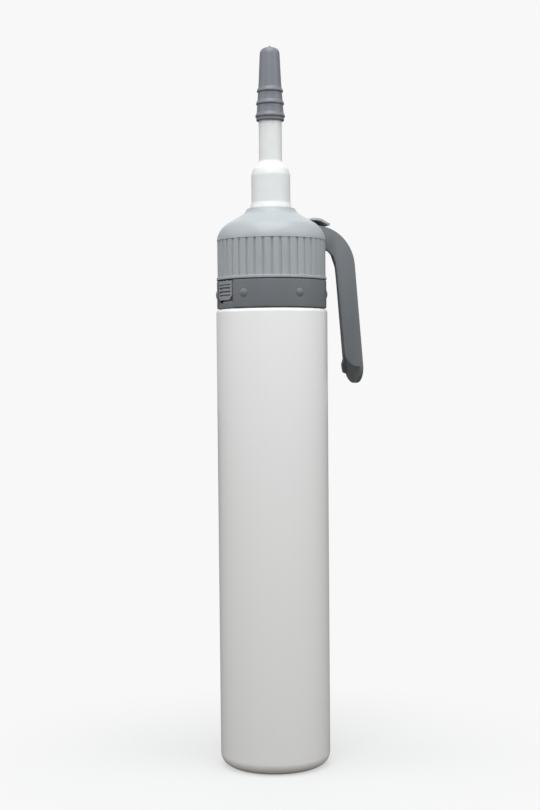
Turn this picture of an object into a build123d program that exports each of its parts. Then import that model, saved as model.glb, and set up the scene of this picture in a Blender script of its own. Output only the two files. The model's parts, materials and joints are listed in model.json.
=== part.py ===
from build123d import *
import os
from math import cos, degrees, hypot, radians, sin, tan

# Self-dispensing caulk can: a pressurised can with a side lever, a stepped nozzle and a tip cap.
# Millimetres. The origin is the centre of the base, +Z runs up the can, the lever hangs on the +X side.

# Driving sizes of the can
can_radius = 22.5
can_height = 186.2
base_round = 5.0
base_rim_inset = 7.0
base_dish_depth = 5.0
shoulder_round = 1.5
neck_step = 2.4
neck_height = 5.3
groove_height = 1.4
groove_depth = 0.5
curl_outer_radius = 15.6
curl_inner_radius = 12.7
curl_height = 2.9
curl_round = 1.2
throat_radius = 14.2
cone_height = 8.0
throat_height = 2.4

# Valve
sheet = 0.4
gasket_thickness = 0.5
gasket_inset = 0.3
cup_depth = 10.0
pedestal_radius = 6.6
pedestal_height = 5.5
housing_length = 18.0
housing_wall = 1.4
housing_floor = 2.0
inlet_radius = 1.6
seal_thickness = 1.2
stem_radius = 2.5
stem_bore_radius = 1.5
stem_port_radius = 0.6
stem_head_radius = 4.2
stem_head_height = 2.6
post_radius = 4.0
post_height = 12.9
flange_radius = 7.6
flange_thickness = 1.6
spring_radius = 3.3
spring_wire = 0.8
spring_turns = 6

# Collar ring
collar_step = 0.35
collar_height = 11.3
collar_edge_round = 0.3
seat_width = 1.0
shadow_gap = 0.3
spigot_wall = 1.0
spigot_height = 5.9
snap_bead_height = 1.2
snap_bead_depth = 0.55
dot_count = 6
dot_first_angle = 37.0
dot_width = 3.5
dot_height = 0.45
dot_level = 5.9
panel_width = 12.9
panel_depth = 0.35

# Lock slider
slider_angle = 7.0
slider_width = 11.0
slider_height = 7.7
slider_flange = 1.4
slider_travel = 1.0
slider_ridge_pitch = 1.6
slider_groove_count = 4
slider_groove_depth = 0.5
slider_groove_height = 0.7
slider_tooth_count = 4
slider_tooth_depth = 1.0
slider_chamfer = 1.6
slider_front_step = 0.1

# Ribbed dome
rim_step = 0.25
rim_height = 1.2
rib_step = 0.25
rib_groove_depth = 0.7
rib_groove_radius = 0.8
rib_count = 40
rib_top = 15.4
dome_wall = 1.35
dome_groove_wall = 1.25
dome_side_height = 20.5
dome_shoulder_angle = 29.5
dome_shoulder_round = 9.0
dome_neck_lip = 0.4
dome_neck_sweep = 6.0
dome_neck_rise = 0.9
sleeve_wall = 1.3
sleeve_length = 7.4
snap_rib_height = 1.0
snap_rib_rise = 2.9
hood_thickness = 0.95
hood_crown_rise = 4.3
hood_overhang = 1.0

# Dome turning stops
turn_range = 60.0
stop_width = 1.4
stop_height = 2.2

# Lever
lever_width = 15.0
lever_wall = 1.6
lever_lean = 5.0
lever_bend_reach = 10.7
lever_bend_rise = 20.7
lever_bend_round = 17.0
lever_drop = 41.8
lever_side_stop = 6.8
lever_side_depth = 8.2
lever_side_round = 8.0
lever_side_end_round = 6.5
lever_far_lip = 0.4
lever_toe_lip = 1.3
lever_toe_lip_start = 4.0
lever_toe_lip_end = 8.0
lever_far_rise = 6.2
lever_arm_rise = 13.2
lever_ramp_inset = 6.5
lever_edge_round = 0.7
yoke_thickness = 2.6
yoke_hole_gap = 1.0
pad_radius = 1.5
fulcrum_offset = 13.0
trunnion_radius = 1.5
trunnion_length = 2.6
boss_radius = 2.3
squeeze_angle = 7.5

# Nozzle
foot_radius = 8.5
foot_stand = 0.56
foot_wall = 1.3
socket_depth = 6.5
socket_wall = 1.5
barrel_step = 0.65
barrel_height = 13.0
barrel_chamfer = 0.7
shoulder_height = 3.0
nozzle_wall = 1.3
tube_radius = 4.65
tube_height = 17.4
tip_length = 21.5
tip_taper = 2.25
tip_wall = 1.0

# Tip cap
cap_wall = 0.7
cap_bead_taper = 1.0
cap_bead_zone = 14.0
cap_top_taper = 0.75
cap_end_wall = 6.2
cap_top_round = 2.6
cap_overlap = 1.1
bead_count = 3
bead_pitch = 5.0
bead_first = 1.9
bead_radius = 0.8
bead_stand = 0.5
nib_radius = 0.55
nib_height = 0.8

# Clearances
free_gap = 0.3
side_gap = 0.4
slide_gap = 0.25
fit_gap = 0.1
hinge_gap = 0.1

# Radii worked out from the driving sizes
base_rim_radius = can_radius - base_rim_inset
neck_radius = can_radius - neck_step
collar_radius = can_radius - collar_step
rim_radius = can_radius - rim_step
rib_radius = rim_radius - rib_step
dome_inner_radius = rib_radius - rib_groove_depth - dome_groove_wall
spigot_outer_radius = dome_inner_radius - free_gap - snap_bead_depth
sleeve_radius = foot_radius + free_gap
dome_neck_radius = sleeve_radius + dome_neck_lip
hood_reach = rib_radius + hood_overhang
lever_bend_x = rib_radius + lever_bend_reach
lever_ramp_x = rib_radius - lever_ramp_inset
yoke_hole_radius = post_radius + yoke_hole_gap
barrel_radius = foot_radius - barrel_step
tip_radius = tube_radius - tip_taper
cap_bottom_radius = tube_radius + free_gap + cap_wall
cap_waist_radius = cap_bottom_radius - cap_bead_taper
cap_top_radius = cap_waist_radius - cap_top_taper

# Levels worked out from the driving sizes
neck_top_z = can_height + neck_height
throat_z = neck_top_z + cone_height
curl_bottom_z = throat_z + throat_height
curl_top_z = curl_bottom_z + curl_height
cup_flange_z = curl_top_z + gasket_thickness
cup_floor_z = cup_flange_z - cup_depth
pedestal_top_z = cup_floor_z + pedestal_height
seal_bottom_z = pedestal_top_z - sheet - seal_thickness
housing_bottom_z = seal_bottom_z - housing_length
spring_seat_z = housing_bottom_z + housing_floor
pocket_floor_z = housing_bottom_z - 1.0
cup_pocket_floor_z = cup_floor_z - sheet - 1.0
stem_head_top_z = seal_bottom_z - free_gap
stem_head_bottom_z = stem_head_top_z - stem_head_height
collar_top_z = can_height + collar_height
spigot_top_z = collar_top_z + spigot_height
dome_bottom_z = collar_top_z + free_gap
shoulder_rise = tan(radians(dome_shoulder_angle))
dome_corner_z = dome_bottom_z + dome_side_height
neck_corner_z = dome_corner_z + (rib_radius - dome_neck_radius) * shoulder_rise
dome_top_z = neck_corner_z + dome_neck_rise
lever_bend_z = dome_bottom_z + lever_bend_rise
lever_arm_underside_z = dome_bottom_z + lever_arm_rise
lever_toe_z = dome_bottom_z - lever_drop
lever_side_end_z = lever_toe_z + lever_side_stop
lever_far_end_z = dome_bottom_z + lever_far_rise
fulcrum_z = lever_arm_underside_z + 1.9
pad_bottom_z = fulcrum_z - pad_radius
flange_top_z = pad_bottom_z - free_gap
flange_bottom_z = flange_top_z - flange_thickness
post_top_z = flange_top_z + post_height
foot_bottom_z = post_top_z - socket_depth
barrel_z = dome_top_z + foot_stand
shoulder_z = barrel_z + barrel_height
tube_z = shoulder_z + 2.4 + shoulder_height
tip_z = tube_z + tube_height
tip_end_z = tip_z + tip_length
cap_bottom_z = tip_z - cap_overlap
cap_top_z = tip_end_z + free_gap + cap_end_wall
half_width = lever_width / 2
stem_travel = fulcrum_offset * radians(squeeze_angle)


def outline(*corners):
    """A closed face in the XZ plane from corners (x, z) or (x, z, rounding radius)."""
    points = [Vector(c[0], 0, c[1]) for c in corners]
    radii = [c[2] if len(c) > 2 else 0.0 for c in corners]
    return make_face(FilletPolyline(*points, radius=radii, close=True))


def turned(*corners):
    """A solid of revolution about Z."""
    return revolve(outline(*corners), Axis.Z)


def slab(face, y_low, y_high):
    """A face in the XZ plane given a thickness along Y."""
    return extrude(Pos(0, y_low, 0) * face, y_high - y_low, dir=(0, 1, 0))


def block(x_low, x_high, y_low, y_high, z_low, z_high):
    """A box from its limits."""
    size = Box(x_high - x_low, y_high - y_low, z_high - z_low)
    return Pos((x_low + x_high) / 2, (y_low + y_high) / 2, (z_low + z_high) / 2) * size


def disc(radius, z_low, z_high):
    """An upright cylinder between two levels."""
    return Pos(0, 0, (z_low + z_high) / 2) * Cylinder(radius, z_high - z_low)


def tube(outer, inner, z_low, z_high):
    """An upright tube between two levels."""
    return disc(outer, z_low, z_high) - disc(inner, z_low - 1, z_high + 1)


def side_prism(*corners):
    """A prism along X through the collar's -X side, from corners (y, z)."""
    points = [Vector(-collar_radius - 1, y, z) for y, z in corners]
    return extrude(make_face(Polyline(*points, close=True)), collar_radius / 3, dir=(1, 0, 0))


def cross_pin(radius, x, z, y_low, y_high):
    """A cylinder lying along Y."""
    pin = Rot(90, 0, 0) * Cylinder(radius, y_high - y_low)
    return Pos(x, (y_low + y_high) / 2, z) * pin


# Can ------------------------------------------------------------------------------------------

snap_groove_z = can_height + 0.55 * neck_height


def make_can():
    """The sealed can with its contents: one body with a pocket for the valve."""
    body = turned(
        (0, 0),
        (can_radius, 0, base_round),
        (can_radius, can_height, shoulder_round),
        (neck_radius, can_height),
        (neck_radius, snap_groove_z),
        (neck_radius - groove_depth, snap_groove_z + groove_height / 4),
        (neck_radius - groove_depth, snap_groove_z + groove_height * 3 / 4),
        (neck_radius, snap_groove_z + groove_height),
        (neck_radius, neck_top_z, 1.5),
        (throat_radius, throat_z, 1.5),
        (throat_radius, curl_bottom_z),
        (curl_outer_radius, curl_bottom_z, curl_round),
        (curl_outer_radius, curl_top_z, curl_round),
        (curl_inner_radius, curl_top_z, curl_round),
        (curl_inner_radius, cup_pocket_floor_z),
        (pedestal_radius, cup_pocket_floor_z),
        (pedestal_radius, pocket_floor_z),
        (0, pocket_floor_z),
    )
    dish_radius = (base_rim_radius**2 + base_dish_depth**2) / (2 * base_dish_depth)
    return body - Pos(0, 0, base_dish_depth - dish_radius) * Sphere(dish_radius)


# Valve ----------------------------------------------------------------------------------------


def make_cup_gasket():
    """The flat sealing ring between the valve cup and the can's curl."""
    return tube(
        curl_outer_radius - gasket_inset,
        curl_inner_radius + gasket_inset,
        curl_top_z,
        cup_flange_z,
    )


def make_valve_cup():
    """The pressed sheet cup that closes the can and holds the valve in its pedestal."""
    skirt_inner = curl_outer_radius + fit_gap
    wall_outer = curl_inner_radius - fit_gap
    wall_inner = wall_outer - sheet
    return turned(
        (skirt_inner, curl_bottom_z + 1.0),
        (skirt_inner + sheet, curl_bottom_z + 1.0),
        (skirt_inner + sheet, cup_flange_z + sheet, 2 * sheet),
        (wall_inner, cup_flange_z + sheet, 2 * sheet),
        (wall_inner, cup_floor_z, sheet),
        (pedestal_radius, cup_floor_z, sheet),
        (pedestal_radius, pedestal_top_z, 2 * sheet),
        (stem_radius + side_gap, pedestal_top_z),
        (stem_radius + side_gap, pedestal_top_z - sheet),
        (pedestal_radius - sheet, pedestal_top_z - sheet),
        (pedestal_radius - sheet, cup_floor_z - sheet),
        (wall_outer, cup_floor_z - sheet, 2 * sheet),
        (wall_outer, cup_flange_z),
        (skirt_inner, cup_flange_z),
    )


housing_radius = pedestal_radius - sheet - fit_gap


def make_stem_seal():
    """The rubber washer that the stem slides through."""
    return tube(housing_radius, stem_radius + fit_gap, seal_bottom_z, seal_bottom_z + seal_thickness)


def make_valve_housing():
    """The moulded chamber under the seal, open to the can through its inlet."""
    chamber = disc(housing_radius, housing_bottom_z, seal_bottom_z)
    bore = disc(housing_radius - housing_wall, spring_seat_z, seal_bottom_z + 1)
    inlet = disc(inlet_radius, housing_bottom_z - 1, spring_seat_z + 1)
    return chamber - bore - inlet


def make_valve_spring():
    """The coil spring that closes the valve."""
    wire = spring_wire / 2
    length = stem_head_bottom_z - spring_seat_z - 2 * (wire + fit_gap)
    path = Helix(length / spring_turns, length, spring_radius)
    section = Plane(origin=path @ 0, z_dir=path % 0) * Circle(wire)
    return Pos(0, 0, spring_seat_z + wire + fit_gap) * sweep(section, path)


def make_valve_stem():
    """The hollow stem: sealing head, shaft, thrust flange and the post that carries the nozzle."""
    stem = turned(
        (0, stem_head_bottom_z),
        (stem_head_radius, stem_head_bottom_z, 0.4),
        (stem_head_radius, stem_head_top_z),
        (stem_radius, stem_head_top_z),
        (stem_radius, flange_bottom_z, 0.6),
        (flange_radius, flange_bottom_z, 0.3),
        (flange_radius, flange_top_z, 0.3),
        (post_radius, flange_top_z),
        (post_radius, post_top_z, 0.4),
        (0, post_top_z),
    )
    port_z = seal_bottom_z + seal_thickness / 2
    bore = disc(stem_bore_radius, port_z - 2 * stem_port_radius, post_top_z + 1)
    port = cross_pin(stem_port_radius, 0, port_z, -2 * stem_radius, 2 * stem_radius)
    return stem - bore - port


# Collar ring and its lock slider --------------------------------------------------------------

collar_bore_radius = neck_radius + fit_gap
flange_outer_radius = collar_bore_radius + slide_gap + 0.4
pocket_outer_radius = flange_outer_radius + slide_gap
slider_bottom_z = collar_top_z - 0.2 - slider_height
window_bottom_z = slider_bottom_z - slider_travel - 0.2


def stop_posts():
    """Two posts on the spigot that end the dome's turn."""
    clear = stop_width + free_gap
    angle_step = degrees(clear / spigot_outer_radius)
    posts = Part()
    for angle in (180 - angle_step, 180 + turn_range + angle_step):
        post = block(
            spigot_outer_radius - spigot_wall,
            spigot_outer_radius,
            -stop_width / 2,
            stop_width / 2,
            spigot_top_z - 0.5,
            spigot_top_z + stop_height,
        )
        posts += Rot(0, 0, angle) * (post & disc(spigot_outer_radius, spigot_top_z - 1, dome_top_z))
    return posts


def collar_dots():
    """The low round grip studs around the collar."""
    sphere_radius = ((dot_width / 2) ** 2 + dot_height**2) / (2 * dot_height)
    dots = Part()
    for index in range(dot_count):
        place = Rot(0, 0, dot_first_angle + index * 360 / dot_count)
        dots += place * Pos(collar_radius + dot_height - sphere_radius, 0, can_height + dot_level) * Sphere(
            sphere_radius
        )
    return dots & tube(collar_radius + 2 * dot_height, collar_radius - 1.0, can_height, collar_top_z)


def make_collar_ring():
    """The ring snapped on the can's neck, with the spigot that the dome turns on."""
    foot_z = can_height + shadow_gap
    web_z = collar_top_z - 2.0
    spigot_inner = spigot_outer_radius - spigot_wall
    bead_z = spigot_top_z - snap_bead_height
    bead_radius_out = spigot_outer_radius + snap_bead_depth
    ring = turned(
        (collar_bore_radius, can_height),
        (collar_bore_radius + seat_width - 0.3, can_height),
        (collar_bore_radius + seat_width, foot_z),
        (collar_radius, foot_z, collar_edge_round),
        (collar_radius, collar_top_z, collar_edge_round),
        (spigot_outer_radius, collar_top_z),
        (spigot_outer_radius, bead_z),
        (bead_radius_out, bead_z + snap_bead_height / 4),
        (bead_radius_out, bead_z + snap_bead_height * 3 / 4),
        (spigot_outer_radius, spigot_top_z),
        (spigot_inner, spigot_top_z),
        (spigot_inner, web_z),
        (collar_bore_radius, web_z - 2.2),
        (collar_bore_radius, snap_groove_z + groove_height),
        (collar_bore_radius - groove_depth, snap_groove_z + groove_height * 3 / 4),
        (collar_bore_radius - groove_depth, snap_groove_z + groove_height / 4),
        (collar_bore_radius, snap_groove_z),
    )
    half_panel = panel_width / 2
    panel = block(-collar_radius - 1, 0, -half_panel, half_panel, can_height, collar_top_z + 1)
    panel = panel & tube(collar_radius + 1, collar_radius - panel_depth, can_height, collar_top_z + 1)
    half_front = slider_width / 2 + slide_gap
    window = block(
        -collar_radius - 1, 3 - neck_radius, -half_front, half_front, window_bottom_z, collar_top_z + 1
    )
    window = window & tube(collar_radius + 1, collar_bore_radius, can_height, collar_top_z + 1)
    half_back = slider_width / 2 + slider_flange + slide_gap
    pocket = block(
        -collar_radius - 1, 3 - neck_radius, -half_back, half_back, window_bottom_z, collar_top_z + 1
    )
    pocket = pocket & tube(pocket_outer_radius, collar_bore_radius - 1, window_bottom_z, collar_top_z + 1)
    pocket = pocket - disc(collar_bore_radius, can_height, collar_top_z + 2)
    bead_relief = block(-collar_radius, 0, -half_back, half_back, window_bottom_z, collar_top_z - 2)
    bead_relief = bead_relief & tube(pocket_outer_radius, neck_radius - 1, window_bottom_z, web_z - 2.4)
    ring = ring + collar_dots() + stop_posts()
    for cutter in (panel, window, pocket, bead_relief):
        ring = ring - Rot(0, 0, slider_angle) * cutter
    return ring


def make_lock_slider():
    """The ridged slide in the collar whose teeth catch the dome's rim."""
    half = slider_width / 2
    top_z = slider_bottom_z + slider_height
    front_radius = collar_radius - slider_front_step
    plate = side_prism(
        (-half + slider_chamfer, slider_bottom_z),
        (half - slider_chamfer, slider_bottom_z),
        (half, slider_bottom_z + slider_chamfer),
        (half, top_z),
        (-half, top_z),
        (-half, slider_bottom_z + slider_chamfer),
    )
    plate = plate & tube(front_radius, collar_bore_radius + slide_gap, slider_bottom_z, top_z)
    back = block(-collar_radius, 0, -half - slider_flange, half + slider_flange, slider_bottom_z, top_z - 1.4)
    back = back & tube(flange_outer_radius, collar_bore_radius + slide_gap, slider_bottom_z, top_z)
    slider = plate + back
    groove_z = slider_bottom_z + slider_chamfer - 0.2
    for index in range(slider_groove_count):
        low = groove_z + index * slider_ridge_pitch - 0.5 * slider_groove_height
        cutter = tube(collar_radius + 1, front_radius - slider_groove_depth, low, low + slider_groove_height)
        keep = block(-collar_radius - 2, 0, -half + 0.8, half - 0.8, low - 1, low + 2)
        slider = slider - (cutter & keep)
    tooth_pitch = slider_width / slider_tooth_count
    for index in range(slider_tooth_count):
        y = (index - (slider_tooth_count - 1) / 2) * tooth_pitch
        slider = slider - side_prism(
            (y, top_z - slider_tooth_depth),
            (y + slider_tooth_depth * 0.9, top_z + 0.2),
            (y - slider_tooth_depth * 0.9, top_z + 0.2),
        )
    return Rot(0, 0, slider_angle) * slider


# Ribbed dome ----------------------------------------------------------------------------------

wall_drop = dome_wall / cos(radians(dome_shoulder_angle))
sleeve_outer = sleeve_radius + sleeve_wall
slot_half = half_width + side_gap


def surface_z(radius):
    """Height of the dome's straight shoulder at a radius."""
    return dome_corner_z + (rib_radius - radius) * shoulder_rise


def dome_envelope():
    """The dome's outer form as a filled solid, without ribs."""
    return turned(
        (0, dome_bottom_z),
        (rim_radius, dome_bottom_z, 0.3),
        (rim_radius, dome_bottom_z + rim_height, 0.25),
        (rib_radius, dome_bottom_z + rim_height),
        (rib_radius, dome_corner_z, dome_shoulder_round),
        (dome_neck_radius, neck_corner_z, dome_neck_sweep),
        (dome_neck_radius, neck_corner_z + dome_neck_sweep),
        (0, neck_corner_z + dome_neck_sweep),
    ) & disc(rim_radius + 1, dome_bottom_z, dome_top_z)


def dome_inside():
    """The hollow of the dome, with the rib that snaps under the collar's bead."""
    snap_z = dome_bottom_z + snap_rib_rise
    snap_radius = spigot_outer_radius + free_gap
    return turned(
        (0, dome_bottom_z - 1),
        (dome_inner_radius, dome_bottom_z - 1),
        (dome_inner_radius, snap_z),
        (snap_radius, snap_z + snap_rib_height / 3),
        (snap_radius, snap_z + snap_rib_height * 2 / 3),
        (dome_inner_radius, snap_z + snap_rib_height),
        (dome_inner_radius, surface_z(dome_inner_radius) - wall_drop, dome_shoulder_round - dome_wall),
        (sleeve_outer, surface_z(sleeve_outer) - wall_drop, 0.8),
        (sleeve_outer, dome_top_z - sleeve_length),
        (0, dome_top_z - sleeve_length),
    )


def rib_cutters():
    """The upright grooves that leave the dome's ribs standing, with round upper ends."""
    cutter_radius_at = rib_radius - rib_groove_depth + rib_groove_radius
    low = dome_bottom_z + rim_height
    high = dome_bottom_z + rib_top
    one = Pos(cutter_radius_at, 0, (low + high) / 2) * Cylinder(rib_groove_radius, high - low)
    one += Pos(cutter_radius_at, 0, high) * Sphere(rib_groove_radius)
    return [Rot(0, 0, (index + 0.5) * 360 / rib_count) * one for index in range(rib_count)]


def lever_slot():
    """The opening in the dome's side that the lever swings in."""
    sill_z = fulcrum_z - 0.3 - (rib_radius + fulcrum_offset) * sin(radians(squeeze_angle)) - 5.0
    top_z = lever_bend_z + hood_crown_rise - hood_thickness + 0.15
    return block(
        sleeve_outer + side_gap, rim_radius + 5, -slot_half, slot_half, sill_z, lever_bend_z + 1.2
    ) + block(lever_ramp_x - 0.8, rim_radius + 5, -slot_half, slot_half, sill_z, top_z)


def hood():
    """The thin visor over the lever's slot, turned down at its end."""
    crown_z = lever_bend_z + hood_crown_rise
    root_x = sleeve_outer + 2.5
    side = outline(
        (root_x, crown_z - 0.9),
        (root_x + 2.0, crown_z - 1.0),
        (hood_reach - 5.0, crown_z - hood_thickness, 5.0),
        (hood_reach - 1.9, crown_z - 2.45, 1.0),
        (hood_reach - 0.8, crown_z - 2.95),
        (hood_reach, crown_z - 2.1, 0.25),
        (hood_reach - 1.8, crown_z - 1.35, 2.0),
        (hood_reach - 4.4, crown_z, 4.0),
        (root_x + 2.4, crown_z + 0.1, 2.0),
        (root_x, crown_z - 0.6),
    )
    return slab(side, -slot_half, slot_half)


def fulcrum_ears():
    """The two hangers under the dome's shoulder that carry the lever's trunnions."""
    inner = half_width + 0.5 + side_gap
    outer = inner + trunnion_length - side_gap + 0.3
    ears = Part()
    for low, high in ((inner, outer), (-outer, -inner)):
        ear = block(
            -fulcrum_offset - 3.0,
            -fulcrum_offset + 3.0,
            low,
            high,
            fulcrum_z - 2.7,
            surface_z(fulcrum_offset - 3.0),
        )
        hole = cross_pin(trunnion_radius + hinge_gap, -fulcrum_offset, fulcrum_z, low - 1, high + 1)
        mouth = block(
            -fulcrum_offset - trunnion_radius * 0.85,
            -fulcrum_offset + trunnion_radius * 0.85,
            low - 1,
            high + 1,
            fulcrum_z - 4.0,
            fulcrum_z,
        )
        ears += ear - hole - mouth
    return ears


def turn_stop():
    """The lug inside the dome that meets the collar's stop posts."""
    low_z = spigot_top_z + free_gap + 0.2
    lug = block(
        -dome_inner_radius - 0.4,
        -spigot_outer_radius + spigot_wall + 0.1,
        -stop_width / 2,
        stop_width / 2,
        low_z,
        low_z + stop_height,
    )
    return lug


def make_ribbed_dome():
    """The domed cap that turns on the collar and carries the lever."""
    outside = dome_envelope()
    shell = outside - dome_inside() - disc(sleeve_radius, dome_bottom_z, dome_top_z + 1)
    for cutter in rib_cutters():
        shell = shell - cutter
    shell = shell - lever_slot()
    lug = turn_stop()
    return shell + (fulcrum_ears() & outside) + lug + hood()


# Lever ----------------------------------------------------------------------------------------

lean = tan(radians(lever_lean))


def leg_x(z, depth):
    """X of a line on the lever's leg, at a depth inside its outer face."""
    return lever_bend_x + (lever_bend_z - z) * lean - depth


def arm_z(x, depth):
    """Z of a line on the lever's upper arm, at a depth under its outer face."""
    return lever_bend_z + (lever_bend_x - x) * lean - depth


def band(depth, end_z):
    """The bent strip between the lever's outer face and a line at a depth inside it."""
    corner_x = leg_x(lever_bend_z - depth, depth)
    return outline(
        (7.0, fulcrum_z),
        (8.6, fulcrum_z + yoke_thickness),
        (lever_ramp_x, arm_z(lever_ramp_x, 0), 2.0),
        (lever_bend_x, lever_bend_z, lever_bend_round),
        (leg_x(end_z, 0), end_z),
        (leg_x(end_z, depth), end_z),
        (corner_x, lever_bend_z - depth, lever_bend_round - depth),
        (lever_ramp_x + 0.6, arm_z(lever_ramp_x, depth), 1.0),
        (10.2, fulcrum_z),
    )


def near_side():
    """The deep side wall's outline, rounded off above the toe."""
    return outline(
        (5.0, fulcrum_z),
        (8.6, fulcrum_z + yoke_thickness),
        (lever_ramp_x, arm_z(lever_ramp_x, 0), 2.0),
        (lever_bend_x, lever_bend_z, lever_bend_round),
        (leg_x(lever_side_end_z, 0), lever_side_end_z),
        (leg_x(lever_side_end_z, lever_side_depth - 0.6), lever_side_end_z, lever_side_end_round),
        (leg_x(lever_arm_underside_z, lever_side_depth + 0.6), lever_arm_underside_z, lever_side_round),
        (10.0, lever_arm_underside_z + 0.4),
    )


def far_side():
    """The far wall's outline: deep at the root, then a low lip that grows at the toe."""
    lip = lever_wall + lever_far_lip
    toe_lip = lever_wall + lever_toe_lip
    low_z = lever_toe_z + lever_toe_lip_start
    high_z = lever_toe_z + lever_toe_lip_end
    return outline(
        (5.0, fulcrum_z),
        (8.6, fulcrum_z + yoke_thickness),
        (lever_ramp_x, arm_z(lever_ramp_x, 0), 2.0),
        (lever_bend_x, lever_bend_z, lever_bend_round),
        (leg_x(low_z, 0), low_z),
        (leg_x(low_z, toe_lip), low_z, 1.0),
        (leg_x(high_z, toe_lip), high_z, 2.0),
        (leg_x(high_z + 2.0, lip), high_z + 2.0, 2.0),
        (leg_x(lever_far_end_z, lip), lever_far_end_z, 10.0),
        (leg_x(lever_arm_underside_z, lip) - 2.0, lever_arm_underside_z, 2.5),
        (10.0, lever_arm_underside_z + 0.4),
    )


def yoke():
    """The plate round the stem, with the pads that push the stem's flange down."""
    half_plate = half_width
    plate = block(
        -fulcrum_offset, 9.5, -half_plate, half_plate, fulcrum_z, fulcrum_z + yoke_thickness
    )
    plate += cross_pin(boss_radius, -fulcrum_offset, fulcrum_z, -half_width - 0.5, half_width + 0.5)
    reach = half_width + 0.5 + trunnion_length
    plate += cross_pin(trunnion_radius, -fulcrum_offset, fulcrum_z, -reach, reach)
    plate += cross_pin(pad_radius, 0, fulcrum_z, -half_width, half_width)
    return plate - disc(yoke_hole_radius, fulcrum_z - 5, fulcrum_z + 5)


def toe_cutter():
    """What is removed to round off the lever's toe, seen along X."""
    toe_centre_z = lever_toe_z + half_width
    rest = block(leg_x(lever_toe_z, 12), leg_x(lever_toe_z, 0) + 5, -20, 20, lever_toe_z - 5, toe_centre_z)
    round_end = Pos(lever_bend_x, 0, toe_centre_z) * Rot(0, 90, 0) * Cylinder(half_width, 60)
    return rest - round_end


def make_lever():
    """The squeeze lever: bent web, deep near wall, low far wall and the yoke inside the dome."""
    lever = slab(band(lever_wall, lever_toe_z), -half_width, half_width)
    lever += slab(near_side(), -half_width, -half_width + lever_wall)
    lever += slab(far_side(), half_width - lever_wall, half_width)
    lever += yoke()
    lever = lever - toe_cutter()
    return fillet([edge for edge in lever.edges() if on_outer_rim(edge)], lever_edge_round)


def on_outer_rim(edge):
    """Whether an edge borders the lever's outer face, on the leg or on the bend."""
    for share in (0.25, 0.5, 0.75):
        point = edge @ share
        on_leg = abs(point.X - leg_x(point.Z, 0)) < 0.02
        in_bend = point.X > lever_ramp_x + 4 and abs(bend_reach(point) - lever_bend_round) < 0.02
        if abs(abs(point.Y) - half_width) > 0.01 or not (on_leg or in_bend):
            return False
    return True


def bend_reach(point):
    """Distance of a point from the centre of the lever's outer bend."""
    back = lever_bend_round * tan(radians((90 - 2 * lever_lean) / 2))
    start_x = lever_bend_x - back * cos(radians(lever_lean))
    start_z = lever_bend_z + back * sin(radians(lever_lean))
    centre_x = start_x - lever_bend_round * sin(radians(lever_lean))
    centre_z = start_z - lever_bend_round * cos(radians(lever_lean))
    return hypot(point.X - centre_x, point.Z - centre_z)


# Nozzle and tip cap ---------------------------------------------------------------------------


def make_nozzle():
    """The stepped nozzle, screwed on the stem's post and guided by the dome's sleeve."""
    socket_radius = post_radius + fit_gap
    boss_outer = socket_radius + socket_wall
    bore = barrel_radius - nozzle_wall
    return turned(
        (socket_radius, foot_bottom_z),
        (boss_outer, foot_bottom_z),
        (boss_outer, post_top_z + 0.5),
        (foot_radius - foot_wall, post_top_z + 0.5),
        (foot_radius - foot_wall, foot_bottom_z),
        (foot_radius, foot_bottom_z, 0.3),
        (foot_radius, barrel_z, 1.0),
        (barrel_radius, barrel_z + 2.0, 1.5),
        (barrel_radius, shoulder_z, 3.0),
        (barrel_radius - barrel_chamfer, shoulder_z + 2.4, 1.2),
        (tube_radius, tube_z, 1.6),
        (tube_radius, tip_z),
        (tube_radius - 0.4, tip_z + 0.5),
        (tip_radius, tip_end_z, 0.4),
        (tip_radius - tip_wall, tip_end_z),
        (tube_radius - nozzle_wall, tip_z),
        (tube_radius - nozzle_wall, tube_z, 1.5),
        (bore, shoulder_z + 0.8, 2.0),
        (bore, post_top_z + 2.0, 1.0),
        (post_radius - nozzle_wall, post_top_z + 2.0),
        (post_radius - nozzle_wall, post_top_z),
        (socket_radius, post_top_z),
    )


def cap_radius(z):
    """Outer radius of the cap's taper at a height among the beads."""
    return cap_bottom_radius - cap_bead_taper * (z - cap_bottom_z) / cap_bead_zone


def make_tip_cap():
    """The pull-off cap with its grip beads."""
    seat_z = tip_end_z + free_gap
    cap = turned(
        (0, cap_bottom_z),
        (cap_bottom_radius, cap_bottom_z, 0.3),
        (cap_waist_radius, cap_bottom_z + cap_bead_zone),
        (cap_top_radius, cap_top_z, cap_top_round),
        (0, cap_top_z),
    )
    for index in range(bead_count):
        z = cap_bottom_z + bead_first + index * bead_pitch
        centre = cap_radius(z) + bead_stand - bead_radius
        cap += Pos(0, 0, z) * Torus(centre, bead_radius)
    cap += Pos(0, 0, cap_top_z + nib_height / 2 - 0.1) * Cone(nib_radius, nib_radius / 4, nib_height + 0.2)
    hollow = turned(
        (0, cap_bottom_z - 1),
        (tube_radius + free_gap, cap_bottom_z - 1),
        (tube_radius + free_gap, tip_z + 0.1),
        (tube_radius - 0.4 + free_gap, tip_z + 0.6),
        (tip_radius + free_gap, seat_z),
        (0, seat_z),
    )
    return cap - hollow


nodes = {
    "can": make_can,
    "cup_gasket": make_cup_gasket,
    "valve_cup": make_valve_cup,
    "stem_seal": make_stem_seal,
    "valve_housing": make_valve_housing,
    "valve_spring": make_valve_spring,
    "valve_stem": make_valve_stem,
    "collar_ring": make_collar_ring,
    "lock_slider": make_lock_slider,
    "ribbed_dome": make_ribbed_dome,
    "lever": make_lever,
    "nozzle": make_nozzle,
    "tip_cap": make_tip_cap,
}

os.makedirs("parts", exist_ok=True)
for name, make in nodes.items():
    export_step(make(), f"parts/{name}.step")

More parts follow.
